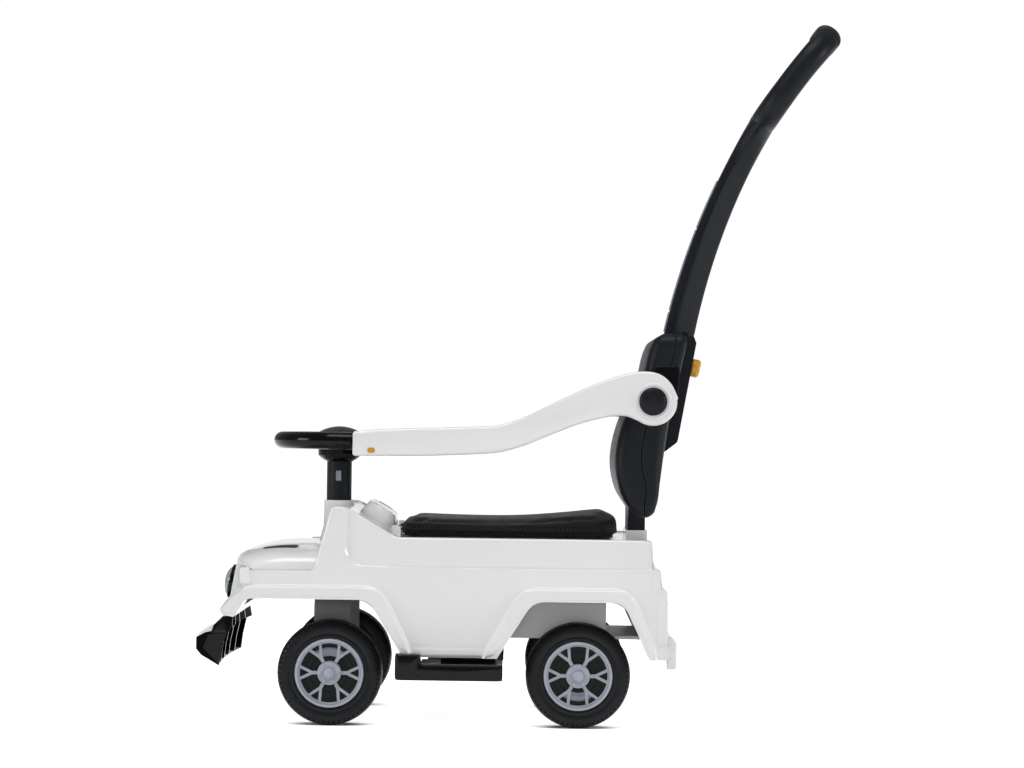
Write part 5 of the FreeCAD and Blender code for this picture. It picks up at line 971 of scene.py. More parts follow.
# %% Body side skins
BODY_LEVEL_MM = 160.4
FLARE_RISE_MM = 9.0
PANEL_SINK_MM = 3.6
PILLAR_BEVEL_MM = 4.6
CREASE_MM = 1.0
CREASE_Z = 195.0
SIDE_ROWS = (5, 64, 13, 20, 5)
SILL_RISE_MM = 1.8
EDGE_ROLL_MM = 3.5
ARCH_ROLL_MM = 4.0
SKIN_MM = 3.0
SEAM_X = -256.0
FINE_SPANS = ((-250, -229, 1.0), (-172, -122, 1.4), (-48, 8, 1.4), (130, 158, 1.4), (158, 181, 0.9))
SEAM_HALF_WIDTH_MM = 0.9
SEAM_FADE_Z = (175, 178)
FLARE_EDGE_MM = (-1.6, 2.6)
LIP_EDGE_MM = (-0.5, 2.5)
PILLAR_FADE_X = (-214, -140)
BEVEL_FADE_X = (-214, -188)
BEVEL_MM = 0.9
STEP_MM = 0.5
CREASE_HALF_MM = 0.7
REAR_GROOVES = ((161.5, 171.5, 195.0), (167.5, 104.0, 171.5))
GROOVE_MM = 1.0
GROOVE_HALF_MM = 0.8
GROOVE_END_MM = 0.6
SKIRT_HALF_MM = 0.9
SKIRT_FADE_X = (167, 168)
REAR_ROLL_X = (150, 156)
REAR_ROLL_Z = (192, 197)
SKIRT_Z = 104.0
REAR_ROLL_MM = 4.5
TOP_ROUND_MM = 6.0
ARCH_ROUND_MM = 19.0
FRONT_FLARE_ROUND_MM = 20.0
REAR_FLARE_ROUND_MM = 18.0
PANEL_ROUND_MM = 26.0
LIP_ROUND_MM = 2.0
COLUMN_STEP_MM = 3.0
COLUMN_SPAN_X = (-360.5, 181.5)
LEAST_STEP_MM = 0.12
LEAST_HEIGHT_MM = 0.3
RIM_SHARE = 0.03


def roll_in(distance, radius):
    """How far a rounded edge has turned in at this distance from the edge."""
    reach = np.clip(1 - distance / radius, 0, 1)
    return radius * (1 - np.sqrt(np.clip(1 - reach * reach, 0, 1)))


def groove(place, middle, half_width):
    """One in the middle of a fine groove, falling off like a bell to both sides."""
    return np.exp(-((place - middle) / half_width) ** 2)


def side_grid(top, low):
    """Columns along the car, closer where an outline bends, and rows from the lower to the upper outline,
    closer at the crease and at both rims."""
    finer = [np.arange(start, stop, step) for start, stop, step in FINE_SPANS]
    even = np.arange(*COLUMN_SPAN_X, COLUMN_STEP_MM)
    columns = np.unique(np.concatenate([even, top[:, 0], low[:, 0], *finer]))
    columns = columns[np.concatenate([[True], np.diff(columns) > LEAST_STEP_MM])]
    top_z = np.interp(columns, top[:, 0], top[:, 1])
    low_z = np.minimum(np.interp(columns, low[:, 0], low[:, 1]), top_z - LEAST_HEIGHT_MM)
    height = top_z - low_z
    crease = np.clip(CREASE_Z, low_z + 0.3 * height, top_z - 0.2 * height)
    band = np.minimum(3.0, 0.04 * height)
    rim = RIM_SHARE * height
    marks = np.stack([low_z, low_z + rim, crease - band, crease + band, top_z - rim, top_z])
    z = np.concatenate([marks[i] + np.linspace(0, 1, rows)[:, None] * (marks[i + 1] - marks[i])
                        for i, rows in enumerate(SIDE_ROWS)])
    z = z[np.concatenate([[True], np.diff(z[:, len(columns) // 2]) > 1e-6])]
    return np.broadcast_to(columns, z.shape), z


def body_side(name, side):
    """Skin of one side: a level face, raised or sunk by its distance to each of the drawn lines."""
    top = rounded_line(BODY_TOP_LINE, TOP_ROUND_MM, False)
    low = rounded_line(BODY_LOW_LINE, ARCH_ROUND_MM, False)
    x, z = side_grid(top, low)
    front = signed(rounded_line(FRONT_FLARE_LINE, FRONT_FLARE_ROUND_MM, True), x, z)
    rear = signed(rounded_line(REAR_FLARE_LINE, REAR_FLARE_ROUND_MM, True), x, z)
    panel = signed(rounded_line(PANEL_LINE, PANEL_ROUND_MM, True), x, z)
    lip = signed(rounded_line(SILL_LIP_LINE, LIP_ROUND_MM, True), x, z)
    y = BODY_LEVEL_MM + FLARE_RISE_MM * soft_step(np.maximum(front, rear), *FLARE_EDGE_MM)
    pillar = 1 - soft_step(x, *PILLAR_FADE_X)
    bevel = soft_step(panel / (BEVEL_MM + PILLAR_BEVEL_MM * (1 - soft_step(x, *BEVEL_FADE_X))), 0.0, 1.0)
    y = y - (PANEL_SINK_MM * pillar + STEP_MM) * bevel
    y = y - CREASE_MM * groove(panel, 0, CREASE_HALF_MM) * (1 - pillar)
    y = y + SILL_RISE_MM * soft_step(lip, *LIP_EDGE_MM)
    y = y - groove(x, SEAM_X, SEAM_HALF_WIDTH_MM) * soft_step(z, *SEAM_FADE_Z)
    for place, low_end, high_end in REAR_GROOVES:
        within = soft_step(z, low_end - GROOVE_END_MM, low_end + GROOVE_END_MM)
        within = within * (1 - soft_step(z, high_end - GROOVE_END_MM, high_end + GROOVE_END_MM))
        y = y - GROOVE_MM * within * groove(x, place, GROOVE_HALF_MM)
    y = y - GROOVE_MM * groove(z, SKIRT_Z, SKIRT_HALF_MM) * soft_step(x, *SKIRT_FADE_X)
    edge = EDGE_ROLL_MM + REAR_ROLL_MM * soft_step(x, *REAR_ROLL_X) * soft_step(z, *REAR_ROLL_Z)
    y = y - roll_in(distance_to(top, x, z), edge) - roll_in(distance_to(low, x, z), ARCH_ROLL_MM)
    return skin_piece(name, np.stack([x, side * y, z], axis=-1), (0, side, 0))


def skin_piece(name, points, outward):
    """Open sheet whose faces look outward, with a wall inside it."""
    piece = grid_piece(name, points, around=False, caps=False)
    if vectors_of(piece.data.polygons, "normal").sum(axis=0) @ np.array(outward) < 0:
        piece.data.flip_normals()
    wall = piece.modifiers.new("wall", "SOLIDIFY")
    wall.thickness = SKIN_MM * MM
    wall.offset = -1
    return piece


for side_name, side in SIDES:
    dress(body_side("body_side_" + side_name, side), "white_shell", "car")
print("body sides: 2")

# %% [markdown]
# ## Hood
# The hood is fuller than a box: the top is crowned, the shoulders roll over into the sides, and the front
# falls away to the nose. Each section across the car is a flattened oval whose height follows the side
# outline.

# %% Hood skin
HOOD_LINE = ((-346.6, 196.0), (-345.6, 204.4), (-342.0, 208.2), (-335.0, 211.0), (-325.0, 214.2),
             (-311.0, 217.6), (-290.0, 219.9), (-265.0, 220.4), (-238.0, 220.6))
HOOD_HALF_MM = 151.0
HOOD_FOOT_Z = 187.6
HOOD_POWER = 3.1
HOOD_ROWS = 70
HOOD_CORNER_MM = 22.0
HOOD_CORNER_REACH_MM = 60


def smooth_line(points, at):
    """Smooth curve through drawn points that follow each other in even shares, read at these shares."""
    shares = np.linspace(0, 1, len(points))
    return smooth_through(np.concatenate([shares[:, None], np.array(points, float)], axis=1), at)


def hood_share(spread):
    """Height across the hood as a share: a flattened oval."""
    return np.cbrt(np.clip(1 - np.abs(spread) ** HOOD_POWER, 0, 1))


def hood_height(x, y):
    """Height of the hood at any place, from the same formula as its skin."""
    ridge = np.interp(x, middle_line[:, 0], middle_line[:, 1])
    return HOOD_FOOT_Z + (ridge - HOOD_FOOT_Z) * hood_share(y / HOOD_HALF_MM)


middle_line = smooth_line(HOOD_LINE, crowded_ends(HOOD_ROWS))
sweep = np.linspace(-np.pi / 2, np.pi / 2, 81)
spread = np.sign(sweep) * np.abs(np.sin(sweep)) ** 0.8
plan_round = HOOD_CORNER_MM * np.abs(spread) ** 8
front_weight = np.clip(1 - (middle_line[:, :1] - HOOD_LINE[0][0]) / HOOD_CORNER_REACH_MM, 0, 1)
hood_x = middle_line[:, :1] + plan_round[None, :] * front_weight
hood_y = np.broadcast_to(HOOD_HALF_MM * spread, hood_x.shape)
hood_z = HOOD_FOOT_Z + (middle_line[:, 1:] - HOOD_FOOT_Z) * hood_share(spread)
hood = skin_piece("hood_skin", np.stack([hood_x, hood_y, hood_z], axis=-1), (0, 0, 1))
dress(hood, "white_shell", "car")
print("hood", HOOD_ROWS, "rows")

# %% [markdown]
# Two black slots lie on the hood, narrow at the front and wider at the rear, and behind each of them a
# white block looks like a hinge. They are slabs whose top follows the hood, a little proud of it.

# %% Hood slots and hinge blocks
SLOT_Y_MM = 106.0
SLOT_X_MM = (-316.0, -273.0)
SLOT_HALF_MM = (3.5, 10.5)
SLOT_PROUD_MM = 0.9
HINGE_X_MM = (-271.0, -249.0)
HINGE_HALF_MM = (6.5, 6.5)
HINGE_PROUD_MM = 3.0


def slot_slab(name, span, half_front, half_rear, y_middle, proud):
    """Rows along the car, columns across; the rim drops into the hood, the middle stands proud of it."""
    share = crowded_ends(40)
    x = span[0] + share * (span[1] - span[0])
    half = half_front + (half_rear - half_front) * share
    half = half * np.sqrt(np.clip(1 - np.abs(2 * share - 1) ** 14, 0.0004, 1))
    across = np.array([-1, -1, -0.94, -0.8, -0.4, 0, 0.4, 0.8, 0.94, 1, 1])
    lift = np.array([-3, 0, 0.85, 1, 1, 1, 1, 1, 0.85, 0, -3])
    ends = np.sqrt(np.clip(1 - np.abs(2 * share - 1) ** 30, 0, 1))
    y = y_middle + half[:, None] * across[None, :]
    grid_x = np.broadcast_to(x[:, None], y.shape)
    z = hood_height(grid_x, y) + proud * lift[None, :] * ends[:, None] - 0.2 * (1 - ends[:, None])
    return grid_piece(name, np.stack([grid_x, y, z], axis=-1))


for side_name, side in SIDES:
    slot = slot_slab("hood_slot_" + side_name, SLOT_X_MM, *SLOT_HALF_MM, side * SLOT_Y_MM, SLOT_PROUD_MM)
    dress(slot, "black_gloss", "car", *once(side, "hood_vents"))
for side_name, side in SIDES:
    hinge = slot_slab("hood_hinge_" + side_name, HINGE_X_MM, *HINGE_HALF_MM, side * SLOT_Y_MM, HINGE_PROUD_MM)
    dress(hinge, "white_shell", "car")
print("slots and hinges: 4")

# %% [markdown]
# ## Guard arms
# The arms are flat mouldings with rounded rims. Seen from the side each one swings up from the front to a
# round hub, and at three o'clock the outline steps in, because a stop runs round the lower half of the hub.
# A slab is made from that outline: rings of points that turn in at both faces, so that the rim is round.

# %% Guard arms
ARM_TOP_LINE = ((-204, 359), (-167, 362), (-117, 364), (-38, 367.3), (-22, 370), (2, 378), (30, 391.8),
                (57.7, 405.4), (85.6, 418.3), (113.5, 429.1), (138, 435.5), (156, 436.1), (170.5, 432.2),
                (183, 421), (191.2, 404))
ARM_LOW_LINE = ((-203.4, 328.6), (-171.7, 329), (-117, 329.7), (-51, 333), (-23.7, 335.8), (4.3, 344),
                (24.3, 352.3), (43.7, 360.4), (71.6, 371.2), (99.5, 378.9), (117.8, 381.6), (130, 380.6),
                (141, 376.5))
PIVOT_MM = (160.5, 399.6)
STOP_RADIUS_MM = 29.6
STOP_ARC_DEG = (5, -123)
ARM_ROUND_MM = 3.6
ARM_STEP_MM = 2.4
ARM_INNER_MM = 122.0
TIP_X_MM = (-205.5, -186.0)
TIP_HEIGHT_MM = 30.0
TIP_CORNER_MM = 3.5
TIP_ROUND_MM = 3.0
TIP_PROUD_MM = 0.6


def even_line(points, step_mm):
    """The same line with points at even steps, for a ring that offsets cleanly."""
    length = np.concatenate([[0], np.cumsum(np.linalg.norm(np.diff(points, axis=0), axis=1))])
    at = np.linspace(0, length[-1], max(int(length[-1] / step_mm), 2))
    return np.stack([np.interp(at, length, points[:, 0]), np.interp(at, length, points[:, 1])], axis=-1)


def rounded_slab(name, outline, low, high, radius, side=1, step_mm=1.0):
    """Closed outline in X and Z, thick along Y: each ring moves inwards along the outline's normal as it
    nears a face, by a quarter round, and the last ring of each face is closed."""
    outline = even_line(joined_up(outline), step_mm)[:-1]
    ahead = headings(outline)
    area = np.sum(outline[:, 0] * np.roll(outline[:, 1], -1) - np.roll(outline[:, 0], -1) * outline[:, 1])
    inward = np.stack([-ahead[:, 1], ahead[:, 0]], axis=-1) * np.sign(area)
    turn = np.linspace(0, np.pi / 2, 6)
    inset = np.concatenate([radius * (1 - np.sin(turn)), radius * (1 - np.sin(turn))[::-1]])
    depth = np.concatenate([low + radius * (1 - np.cos(turn)), (high - radius * (1 - np.cos(turn)))[::-1]])
    flat = outline[None, :, :] + inset[:, None, None] * inward[None, :, :]
    y = np.broadcast_to(side * depth[:, None], flat.shape[:2])
    return grid_piece(name, np.stack([flat[..., 0], y, flat[..., 1]], axis=-1))


fine = np.linspace(0, 1, 160)
arm_top = smooth_line(ARM_TOP_LINE, fine)
arm_low = smooth_line(ARM_LOW_LINE, fine)
stop_angle = np.radians(np.linspace(*STOP_ARC_DEG, 40))
stop = np.array(PIVOT_MM) + STOP_RADIUS_MM * np.stack([np.cos(stop_angle), np.sin(stop_angle)], axis=-1)
arm_outline = np.concatenate([arm_top, stop, arm_low[::-1]])
arm_box_low, arm_box_high = box_mm("guard_arm_right")
for side_name, side in SIDES:
    arm = rounded_slab("guard_arm_" + side_name + "_moulding", arm_outline, ARM_INNER_MM, arm_box_high[1],
                       ARM_ROUND_MM, side, ARM_STEP_MM)
    dress(arm, "white_shell", side_name + "_guard", "guard_arm_" + side_name)
    tip = rounded_rows(*TIP_X_MM, arm_box_low[2], arm_box_low[2] + TIP_HEIGHT_MM, (TIP_CORNER_MM,) * 4, 7)[0]
    tip_piece = rounded_slab("guard_tip_" + side_name, tip, arm_box_low[1], arm_box_high[1] + TIP_PROUD_MM,
                             TIP_ROUND_MM, side)
    dress(tip_piece, "white_shell", side_name + "_guard")
print("arm outline", len(arm_outline), "points")

# %% [markdown]
# The pivot cap is a shallow black dome with a fine parting line, and the hub has a low ring round it.

# %% Pivot caps and hub rings
CAP_RADIUS_MM = 17.2
CAP_RISE_MM = 6.0
CAP_PROUD_MM = 0.2
CAP_SKIRT_MM = 6
PARTING_MM = 0.5
PARTING_HALF_MM = 0.45
HUB_RING_SECTION_MM = ((18.4, -1.0), (19.4, 1.4), (22.0, 1.4), (23.4, -1.0))
ring_share = np.sin(np.linspace(0, np.pi / 2, 26))
radii = np.maximum(CAP_RADIUS_MM * ring_share, POLE_MM)[:, None]
spin = whole_turn(120)
across = radii * np.cos(spin)
dome = CAP_RISE_MM * np.sqrt(np.clip(1 - ring_share ** 2.4, 0, 1))[:, None]
dome = dome - PARTING_MM * np.exp(-(across / PARTING_HALF_MM) ** 2)
face = arm_box_high[1] + CAP_PROUD_MM
for side_name, side in SIDES:
    cap = np.stack([PIVOT_MM[0] + across, side * (face + dome), PIVOT_MM[1] + radii * np.sin(spin)], axis=-1)
    skirt = cap[-1:].copy()
    skirt[..., 1] = side * (face - CAP_SKIRT_MM)
    cap_piece = grid_piece("pivot_cap_" + side_name, np.concatenate([cap, skirt]))
    dress(cap_piece, "black_satin", "car", *once(side, "guard_pivot_caps"))
    hub = (PIVOT_MM[0], side * arm_box_high[1], PIVOT_MM[1])
    ring = turned("guard_hub_ring_" + side_name, hub, side, joined_up(np.array(HUB_RING_SECTION_MM)), spin)
    dress(ring, "white_shell", side_name + "_guard")
print("caps and rings: 4")

# %% [markdown]
# ## Front bumper
# The bumper is a glossy black moulding in steps: a blunt nose, a ledge above it and a sharp lip below. It
# bows forward in the middle and narrows towards its top. Behind it is a hollow with upright ribs, as in any
# moulded part of that size. One drawn section is carried across the car, and its rear points stand back at
# every rib.

# %% Bumper
BUMPER_FRONT = ((-364.8, 71), (-387, 84), (-393, 91.5), (-393, 105.5), (-382, 111.5), (-374.5, 113),
                (-373, 119.5), (-362.5, 130), (-352, 130.5))
BUMPER_RIB_BACK = ((-352, 130.5), (-351, 113.5), (-358, 110.5), (-362.5, 90), (-364.8, 71))
BUMPER_HOLLOW_BACK = ((-361, 128.5), (-370, 117), (-378, 109), (-385, 92), (-368, 75))
BUMPER_RIBS = (-0.985, -0.6, -0.2, 0.2, 0.6, 0.985)
RIB_HALF_SHARE = 0.013
BUMPER_BOW_MM = 5.5
BUMPER_EDGE_MM = 0.9
BUMPER_NARROW_MM = 20.0
BUMPER_NARROW_Z = (111, 130)
bumper_half = box_mm("front_bumper")[1][1]
front = np.array(BUMPER_FRONT)
step_share = RIB_HALF_SHARE + np.array([-1e-4, 1e-4])
edges = np.concatenate([rib + sign * step_share for rib in BUMPER_RIBS for sign in (-1, 1)])
across = np.unique(np.concatenate([np.linspace(-0.95, 0.95, 39), edges, [-1.0, -0.997, 0.997, 1.0]]))
across = across[np.abs(across) <= 1]
on_rib = np.min(np.abs(across[:, None] - np.array(BUMPER_RIBS)[None, :]), axis=1) < RIB_HALF_SHARE
rear = np.where(on_rib[:, None, None], np.array(BUMPER_RIB_BACK), np.array(BUMPER_HOLLOW_BACK))
section = np.concatenate([np.broadcast_to(front, (len(across),) + front.shape), rear], axis=1)
middle = front.mean(axis=0)
draw_in = np.where(np.abs(across) > 0.999, 0.97, 1.0)[:, None, None]
section = middle + (section - middle) * draw_in
taper = BUMPER_NARROW_MM * soft_step(section[..., 1], *BUMPER_NARROW_Z)
bow = BUMPER_BOW_MM * (1 - across[:, None] ** 2)
bumper = np.stack([section[..., 0] - bow, across[:, None] * (bumper_half - taper), section[..., 1]], axis=-1)
bumper_piece = grid_piece("front_bumper_moulding", bumper)
soften(bumper_piece, BUMPER_EDGE_MM)
dress(bumper_piece, "black_gloss", "car", "front_bumper")
print("bumper", len(across), "sections,", len(BUMPER_RIBS), "ribs")

# %% [markdown]
# ## Headlights
# Each lamp is a black ring round a clear dome, with a silver bowl behind the dome. All three are sections
# turned round the lamp's axis, which leans back with the nose.

# %% Headlights
LAMP_LEAN_DEG = 11.1
LAMP_PLACE = (-352.4, 86.0, 170.5)
BEZEL_SECTION_MM = ((18.0, -1.0), (18.0, 4.0), (18.6, 5.2), (19.6, 5.6), (20.6, 5.2), (21.2, 4.0),
                    (21.2, -1.0))
BOWL_SECTION_MM = ((0.01, 0.6), (5.0, 0.9), (10.0, 1.8), (15.0, 3.4), (18.1, 4.6), (18.1, 0.0), (0.01, 0.0))
LENS_RADIUS_MM = 18.2
LENS_RISE_MM = 8.0
LENS_BASE_MM = 4.4
LENS_INSIDE_MM = ((17.0, 4.2), (0.01, 10.6))
lamp_up, lamp_back = leaning(np.radians(LAMP_LEAN_DEG))
arc = np.linspace(0.001, np.pi / 2, 16)
lens_section = np.stack([LENS_RADIUS_MM * np.sin(arc), LENS_BASE_MM + LENS_RISE_MM * np.cos(arc)], axis=-1)
lens_section = np.concatenate([lens_section, LENS_INSIDE_MM])
LAMP_PARTS = (("headlight_ring_", joined_up(np.array(BEZEL_SECTION_MM)), "black_gloss", "headlight_bezels"),
              ("headlight_bowl_", np.array(BOWL_SECTION_MM), "rim_silver", None),
              ("headlight_dome_", lens_section, "lens_clear", "headlight_lenses"))
round_once = np.stack([np.cos(whole_turn(72)), np.sin(whole_turn(72))], axis=-1)
for side_name, side in SIDES:
    place = np.array(LAMP_PLACE) * (1, side, 1)
    for name, section, slot, node in LAMP_PARTS:
        lamp_line = place - section[:, 1:] * lamp_back
        rings = carried(lamp_line, section[:, :1, None] * round_once, SIDEWAYS, lamp_up)
        stands_for = once(side, node) if node else ()
        dress(grid_piece(name + side_name, rings, caps=False), slot, "car", *stands_for)
print("headlights: 2")

# %% [markdown]
# ## Corner lamps and dash pod
# A pale corner lamp stands at the front of each fender. On the dash slope sits a pod like a cut-off cone: a
# rounded outline that shrinks towards a slanted top, with a rim and a lid let into it.

# %% Corner lamps
CORNER_LAMP_X_MM = (-339.0, -327.5)
CORNER_LAMP_Y_MM = (146.0, 163.4)
CORNER_LAMP_Z_MM = (172.0, 192.0)
CORNER_LAMP_EDGE_MM = 1.3
outline = rounded_rows(*CORNER_LAMP_X_MM, *CORNER_LAMP_Z_MM, (3, 2, 3, 3), 7)[0]
for side_name, side in SIDES:
    lamp_piece = rounded_slab("corner_lamp_" + side_name, outline, *CORNER_LAMP_Y_MM, CORNER_LAMP_EDGE_MM,
                              side)
    dress(lamp_piece, "indicator_amber", "car", *once(side, "corner_indicators"))
print("corner lamps: 2")

# %% Dash pod
POD_TOP = ((-188.3, 0, 271.9), (-156.7, 0, 253.2))
POD_HALF_MM = 56.0
POD_ROUND_MM = 60.0
# Height over the top, then how far the front, the rear and each side stand out from its outline
POD_ROWS = ((-34, -6.6, 20.0, 3.5), (-23, -5.2, 14.2, 2.6), (-10, -2.4, 6.4, 1.2), (-2.0, -0.7, 1.2, 0.2),
            (-0.4, -0.4, 0.5, 0.0), (0.4, 0.0, 0.0, -0.4), (0.8, 0.8, -0.8, -1.2), (0.8, 2.2, -2.2, -2.6),
            (0.5, 2.8, -2.8, -3.2), (0.3, 3.0, -3.0, -3.4))
LID_ROWS = ((0.0, 5.0), (1.0, 5.0), (1.5, 5.5), (1.7, 6.4), (1.7, 8.2), (0.9, 8.8), (0.9, 9.4))
pod_start, pod_end = np.array(POD_TOP)
pod_length = np.linalg.norm(pod_end - pod_start)
pod_along = (pod_end - pod_start) / pod_length
pod_normal = np.array([-pod_along[2], 0, pod_along[0]])


def pod_piece(name, rows):
    """Rounded outlines stacked along the pod's normal."""
    height, front, rear, out = np.array(rows, float).T
    half = POD_HALF_MM + out
    plan = rounded_rows(front, pod_length + rear, -half, half, (POD_ROUND_MM,) * 4, 14)
    return grid_piece(name, carried(pod_start + height[:, None] * pod_normal, plan, pod_along, SIDEWAYS))


lid_rows = [(height, inset, -inset, -inset) for height, inset in LID_ROWS]
dress(pod_piece("dash_pod_cone", POD_ROWS), "white_shell", "car")
dress(pod_piece("dash_pod_plate", lid_rows), "white_shell", "car", "dash_pod_lid")
print("pod", round(pod_length, 1), "mm long at the top")

# %% [markdown]
# ## Shade pads and hinge cheeks
# Behind each arm hub a thin dark slab on the backrest is painted shade, where the side looks sunk, and a low
# white cheek stands on each side of the seat hinge. Both are small slabs from a drawn outline.

# %% Shade pads and hinge cheeks
SHADE_PAD_LINE = ((160.5, 386), (162.5, 438), (166, 443), (191, 443.5), (194.5, 440), (190, 386))
SHADE_PAD_Y_MM = (116.5, 119.2)
SHADE_PAD_EDGE_MM = 0.9
CHEEK_LINE = ((-158.5, 227), (-158.5, 244), (-147, 242.5), (-147, 227))
CHEEK_Y_MM = (99.0, 104.0)
CHEEK_EDGE_MM = 1.6
SMALL_CORNER_MM = 4.0
shade_pad_outline = rounded_line(SHADE_PAD_LINE, SMALL_CORNER_MM, True)
cheek_outline = rounded_line(CHEEK_LINE, SMALL_CORNER_MM, True)
for side_name, side in SIDES:
    # Painted shade: a slab darker than the backrest, where its side looks sunk behind the hub.
    shade_pad = rounded_slab("backrest_pad_" + side_name, shade_pad_outline, *SHADE_PAD_Y_MM, SHADE_PAD_EDGE_MM, side)
    dress(shade_pad, "black_gloss", "car")
    cheek = rounded_slab("hinge_cheek_" + side_name, cheek_outline, *CHEEK_Y_MM, CHEEK_EDGE_MM, side)
    dress(cheek, "white_shell", "car")
print("pads and cheeks: 4")

# %% [markdown]
# ## Footrest treads
# The footrests are glossy, with full round edges that catch the light. A slab of toe and tread outline,
# with a generous rim, covers the outer part of each one and slides with it.

# %% Footrest treads
TREAD_LINE = ((-148.3, 60.7), (-148.3, 92.3), (-117.7, 92.3), (-117.7, 80.4), (-18.7, 80.4), (-18.7, 60.7))
TREAD_Y_MM = (169.8, 197.4)
TREAD_CORNER_MM = 5.0
TREAD_EDGE_MM = 4.0
tread_outline = rounded_line(TREAD_LINE, TREAD_CORNER_MM, True)
for side_name, side in SIDES:
    tread = rounded_slab("footrest_tread_" + side_name, tread_outline, *TREAD_Y_MM, TREAD_EDGE_MM, side)
    dress(tread, "black_gloss", side_name + "_footrest")
print("treads: 2")

# %% Dress the CAD nodes
for name, piece in nodes.items():
    finish(piece, slot_of_node[name])
    soften(piece, EDGE_MM.get(name, PLAIN_EDGE_MM))
print("dressed", len(nodes), "nodes")

# %% [markdown]
# ## Studio
# The photograph is a catalogue shot on white: a long lens, level with the middle of the car, broad soft
# light from above and in front, and only a small dark shadow where the wheels touch the floor. The lens and
# the place of the camera come from the picture: the axles and the near and far wheels give the vanishing
# point.

# %% Camera
IMAGE_WIDTH_PX = 1024
IMAGE_CENTRE_PX = (512, 384)
VANISHING_PX = (518, 425)
FOCAL_PX = 2834
SENSOR_MM = 36
CAMERA_PLACE = (-0.004, -3.60, 0.369)
CAMERA_ROLL_DEG = 0.75

roll = math.radians(CAMERA_ROLL_DEG)
right = Vector((math.cos(roll), 0, math.sin(roll)))
up = Vector((-math.sin(roll), 0, math.cos(roll)))
aside = (VANISHING_PX[0] - IMAGE_CENTRE_PX[0]) / FOCAL_PX
below = (VANISHING_PX[1] - IMAGE_CENTRE_PX[1]) / FOCAL_PX
forward = (Vector((0, 1, 0)) - right * aside + up * below).normalized()
right = forward.cross(up).normalized()
up = right.cross(forward)
lens = bpy.data.cameras.new("studio_camera")
lens.sensor_width = SENSOR_MM
lens.lens = FOCAL_PX * SENSOR_MM / IMAGE_WIDTH_PX
camera = bpy.data.objects.new("studio_camera", lens)
camera.matrix_world = Matrix((
    (right.x, up.x, -forward.x, CAMERA_PLACE[0]),
    (right.y, up.y, -forward.y, CAMERA_PLACE[1]),
    (right.z, up.z, -forward.z, CAMERA_PLACE[2]),
    (0, 0, 0, 1),
))
bpy.context.scene.collection.objects.link(camera)
bpy.context.scene.camera = camera
print("lens", round(lens.lens, 1), "mm")

# %% [markdown]
# The floor is pale and catches the shadow. In a catalogue picture the retoucher lifts it to paper white and
# leaves only the small dark patches where the wheels stand. Here a glow does the lifting, for every ray
# that brings the floor to the eye. It fades wherever something stands within a few centimetres, which is
# what ambient occlusion measures. The lamps stay at a plain level, so that white plastic still shows its
# shading. The world is white behind the car, straight, through a lens or mirrored. In other directions a
# mirrored ray meets a dim studio, so that black plastic stays deep.

# %% Floor and world
FLOOR_HALF_M = 30
FLOOR_GLOW = 0.9
CONTACT_M = 0.07
FLOOR_COLOUR = "#E8E8E8"


def rays_that_show(tree, mirrored_share):
    """One for rays that bring the backdrop to the eye, straight or through a clear lens; a share of one for
    rays mirrored in gloss."""
    path = add(tree, "ShaderNodeLightPath")
    mirrored = add(tree, "ShaderNodeMath", {0: path.outputs["Is Glossy Ray"], 1: mirrored_share},
                   operation="MULTIPLY")
    straight = add(tree, "ShaderNodeMath", {0: path.outputs["Is Camera Ray"],
                                            1: path.outputs["Is Transmission Ray"]}, operation="MAXIMUM")
    return add(tree, "ShaderNodeMath", {0: straight.outputs[0], 1: mirrored.outputs[0]}, operation="MAXIMUM")


def paper_floor():
    """Pale matt floor: diffuse for all rays, plus a glow that lifts it to white and fades near the wheels."""
    material = bpy.data.materials.new("paper_floor")
    material.use_nodes = True
    tree = material.node_tree
    tree.nodes.clear()
    seen = rays_that_show(tree, 1.0)
    open_air = add(tree, "ShaderNodeAmbientOcclusion", {"Distance": CONTACT_M}, samples=16)
    fade = add(tree, "ShaderNodeMapRange", {"Value": open_air.outputs["AO"], "From Min": 0.2,
                                            "From Max": 0.74}, interpolation_type="SMOOTHSTEP")
    lifted = add(tree, "ShaderNodeMath", {0: seen.outputs[0], 1: fade.outputs["Result"]},
                 operation="MULTIPLY")
    glow = add(tree, "ShaderNodeMath", {0: lifted.outputs[0], 1: FLOOR_GLOW}, operation="MULTIPLY")
    paper = add(tree, "ShaderNodeBsdfDiffuse", {"Color": linear(FLOOR_COLOUR)})
    lift = add(tree, "ShaderNodeEmission", {"Color": linear("#FFFFFF"), "Strength": glow.outputs[0]})
    both = add(tree, "ShaderNodeAddShader", {0: paper.outputs[0], 1: lift.outputs[0]})
    add(tree, "ShaderNodeOutputMaterial", {"Surface": both.outputs[0]})
    return material


corners = np.array([(-1, -1, 0), (1, -1, 0), (1, 1, 0), (-1, 1, 0)], float) * FLOOR_HALF_M
floor_mesh = bpy.data.meshes.new("studio_floor")
floor_mesh.from_pydata(corners.tolist(), [], [(0, 1, 2, 3)])
floor_mesh.materials.append(paper_floor())
floor = bpy.data.objects.new("studio_floor", floor_mesh)
bpy.context.scene.collection.objects.link(floor)

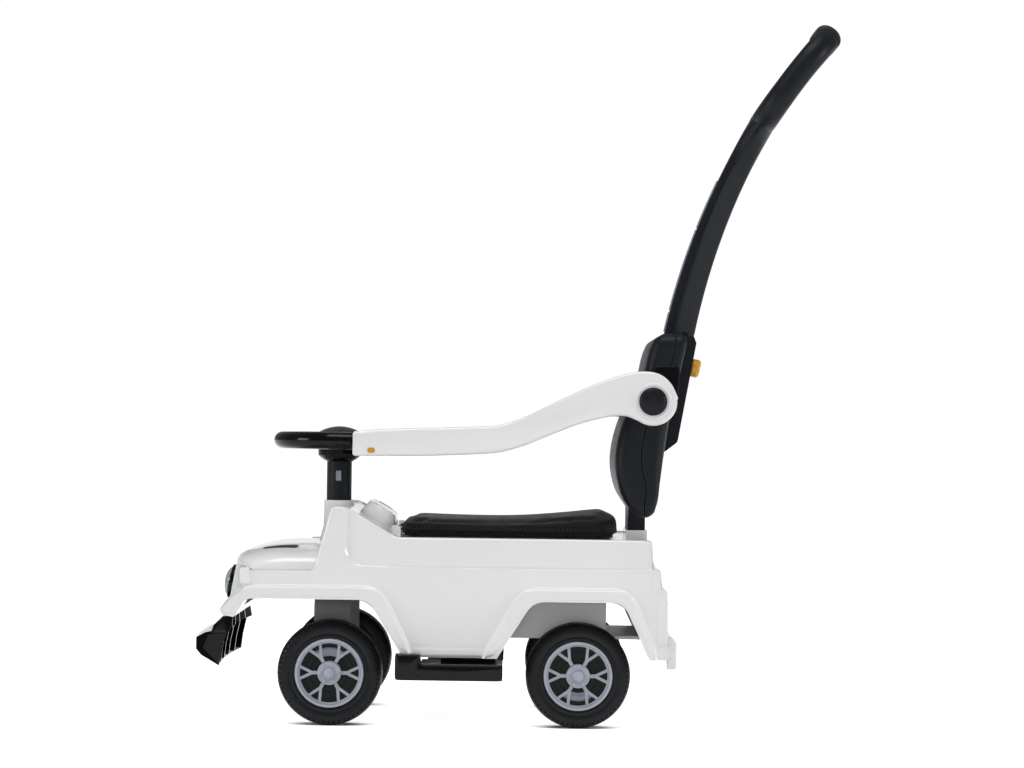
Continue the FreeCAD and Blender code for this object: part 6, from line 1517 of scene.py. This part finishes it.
WORLD_LIGHT = 0.25
BACKDROP_FROM = 0.97
BACKDROP_FULL = 0.985
world = bpy.data.worlds.new("studio_world")
world.use_nodes = True
bpy.context.scene.world = world
sky = world.node_tree
sky.nodes.clear()
place = add(sky, "ShaderNodeTexCoord")
parts = add(sky, "ShaderNodeSeparateXYZ", {0: place.outputs["Generated"]})
behind = add(sky, "ShaderNodeMapRange", {"Value": parts.outputs["Y"], "From Min": BACKDROP_FROM,
                                         "From Max": BACKDROP_FULL})
seen = rays_that_show(sky, behind.outputs["Result"])
level = add(sky, "ShaderNodeMapRange", {"Value": seen.outputs[0], "To Min": WORLD_LIGHT, "To Max": 1.0})
air = add(sky, "ShaderNodeBackground", {"Color": linear("#FFFFFF"), "Strength": level.outputs["Result"]})
add(sky, "ShaderNodeOutputWorld", {"Surface": air.outputs[0]})
print("floor and world ready")

# %% [markdown]
# Soft boxes light the car from above and from both sides, so that every bevel that turns left, right or up
# shows a bright line, while the space behind the camera stays dark, which keeps the black parts deep. Three
# weak cards, in front, near the floor and behind the car, only fill the shade: they are left out of
# reflections.

# %% Lamps
LAMPS = (
    ("overhead_box", (-0.1, -0.7, 2.4), (0.0, 0.0, 0.35), 1.3, 23, True),
    ("left_box", (-2.5, -1.1, 0.9), (0.0, 0.0, 0.3), 0.9, 19, True),
    ("right_box", (2.6, -1.0, 0.9), (0.0, 0.0, 0.3), 0.9, 22, True),
    ("front_card", (0.2, -3.0, 0.9), (0.0, 0.0, 0.3), 1.0, 7.0, False),
    ("low_card", (0.0, -1.6, 0.14), (0.0, 0.0, 0.16), 0.4, 2.2, False),
    ("backdrop_card", (0.3, 2.8, 0.9), (0.1, 0.0, 0.2), 1.6, 14, False),
)
for name, place, target, size, power, mirrored in LAMPS:
    lamp = bpy.data.lights.new(name, "AREA")
    lamp.shape = "SQUARE"
    lamp.size = size
    lamp.energy = power
    holder = bpy.data.objects.new(name, lamp)
    holder.location = place
    holder.rotation_euler = (Vector(target) - Vector(place)).to_track_quat("-Z", "Y").to_euler()
    holder.visible_glossy = mirrored
    bpy.context.scene.collection.objects.link(holder)
bpy.context.scene.view_settings.view_transform = "Standard"
print("lamps:", len(LAMPS))

# %% [markdown]
# ## Last update
# The view layer is brought up to date once more.

# %% Last update
bpy.context.view_layer.update()
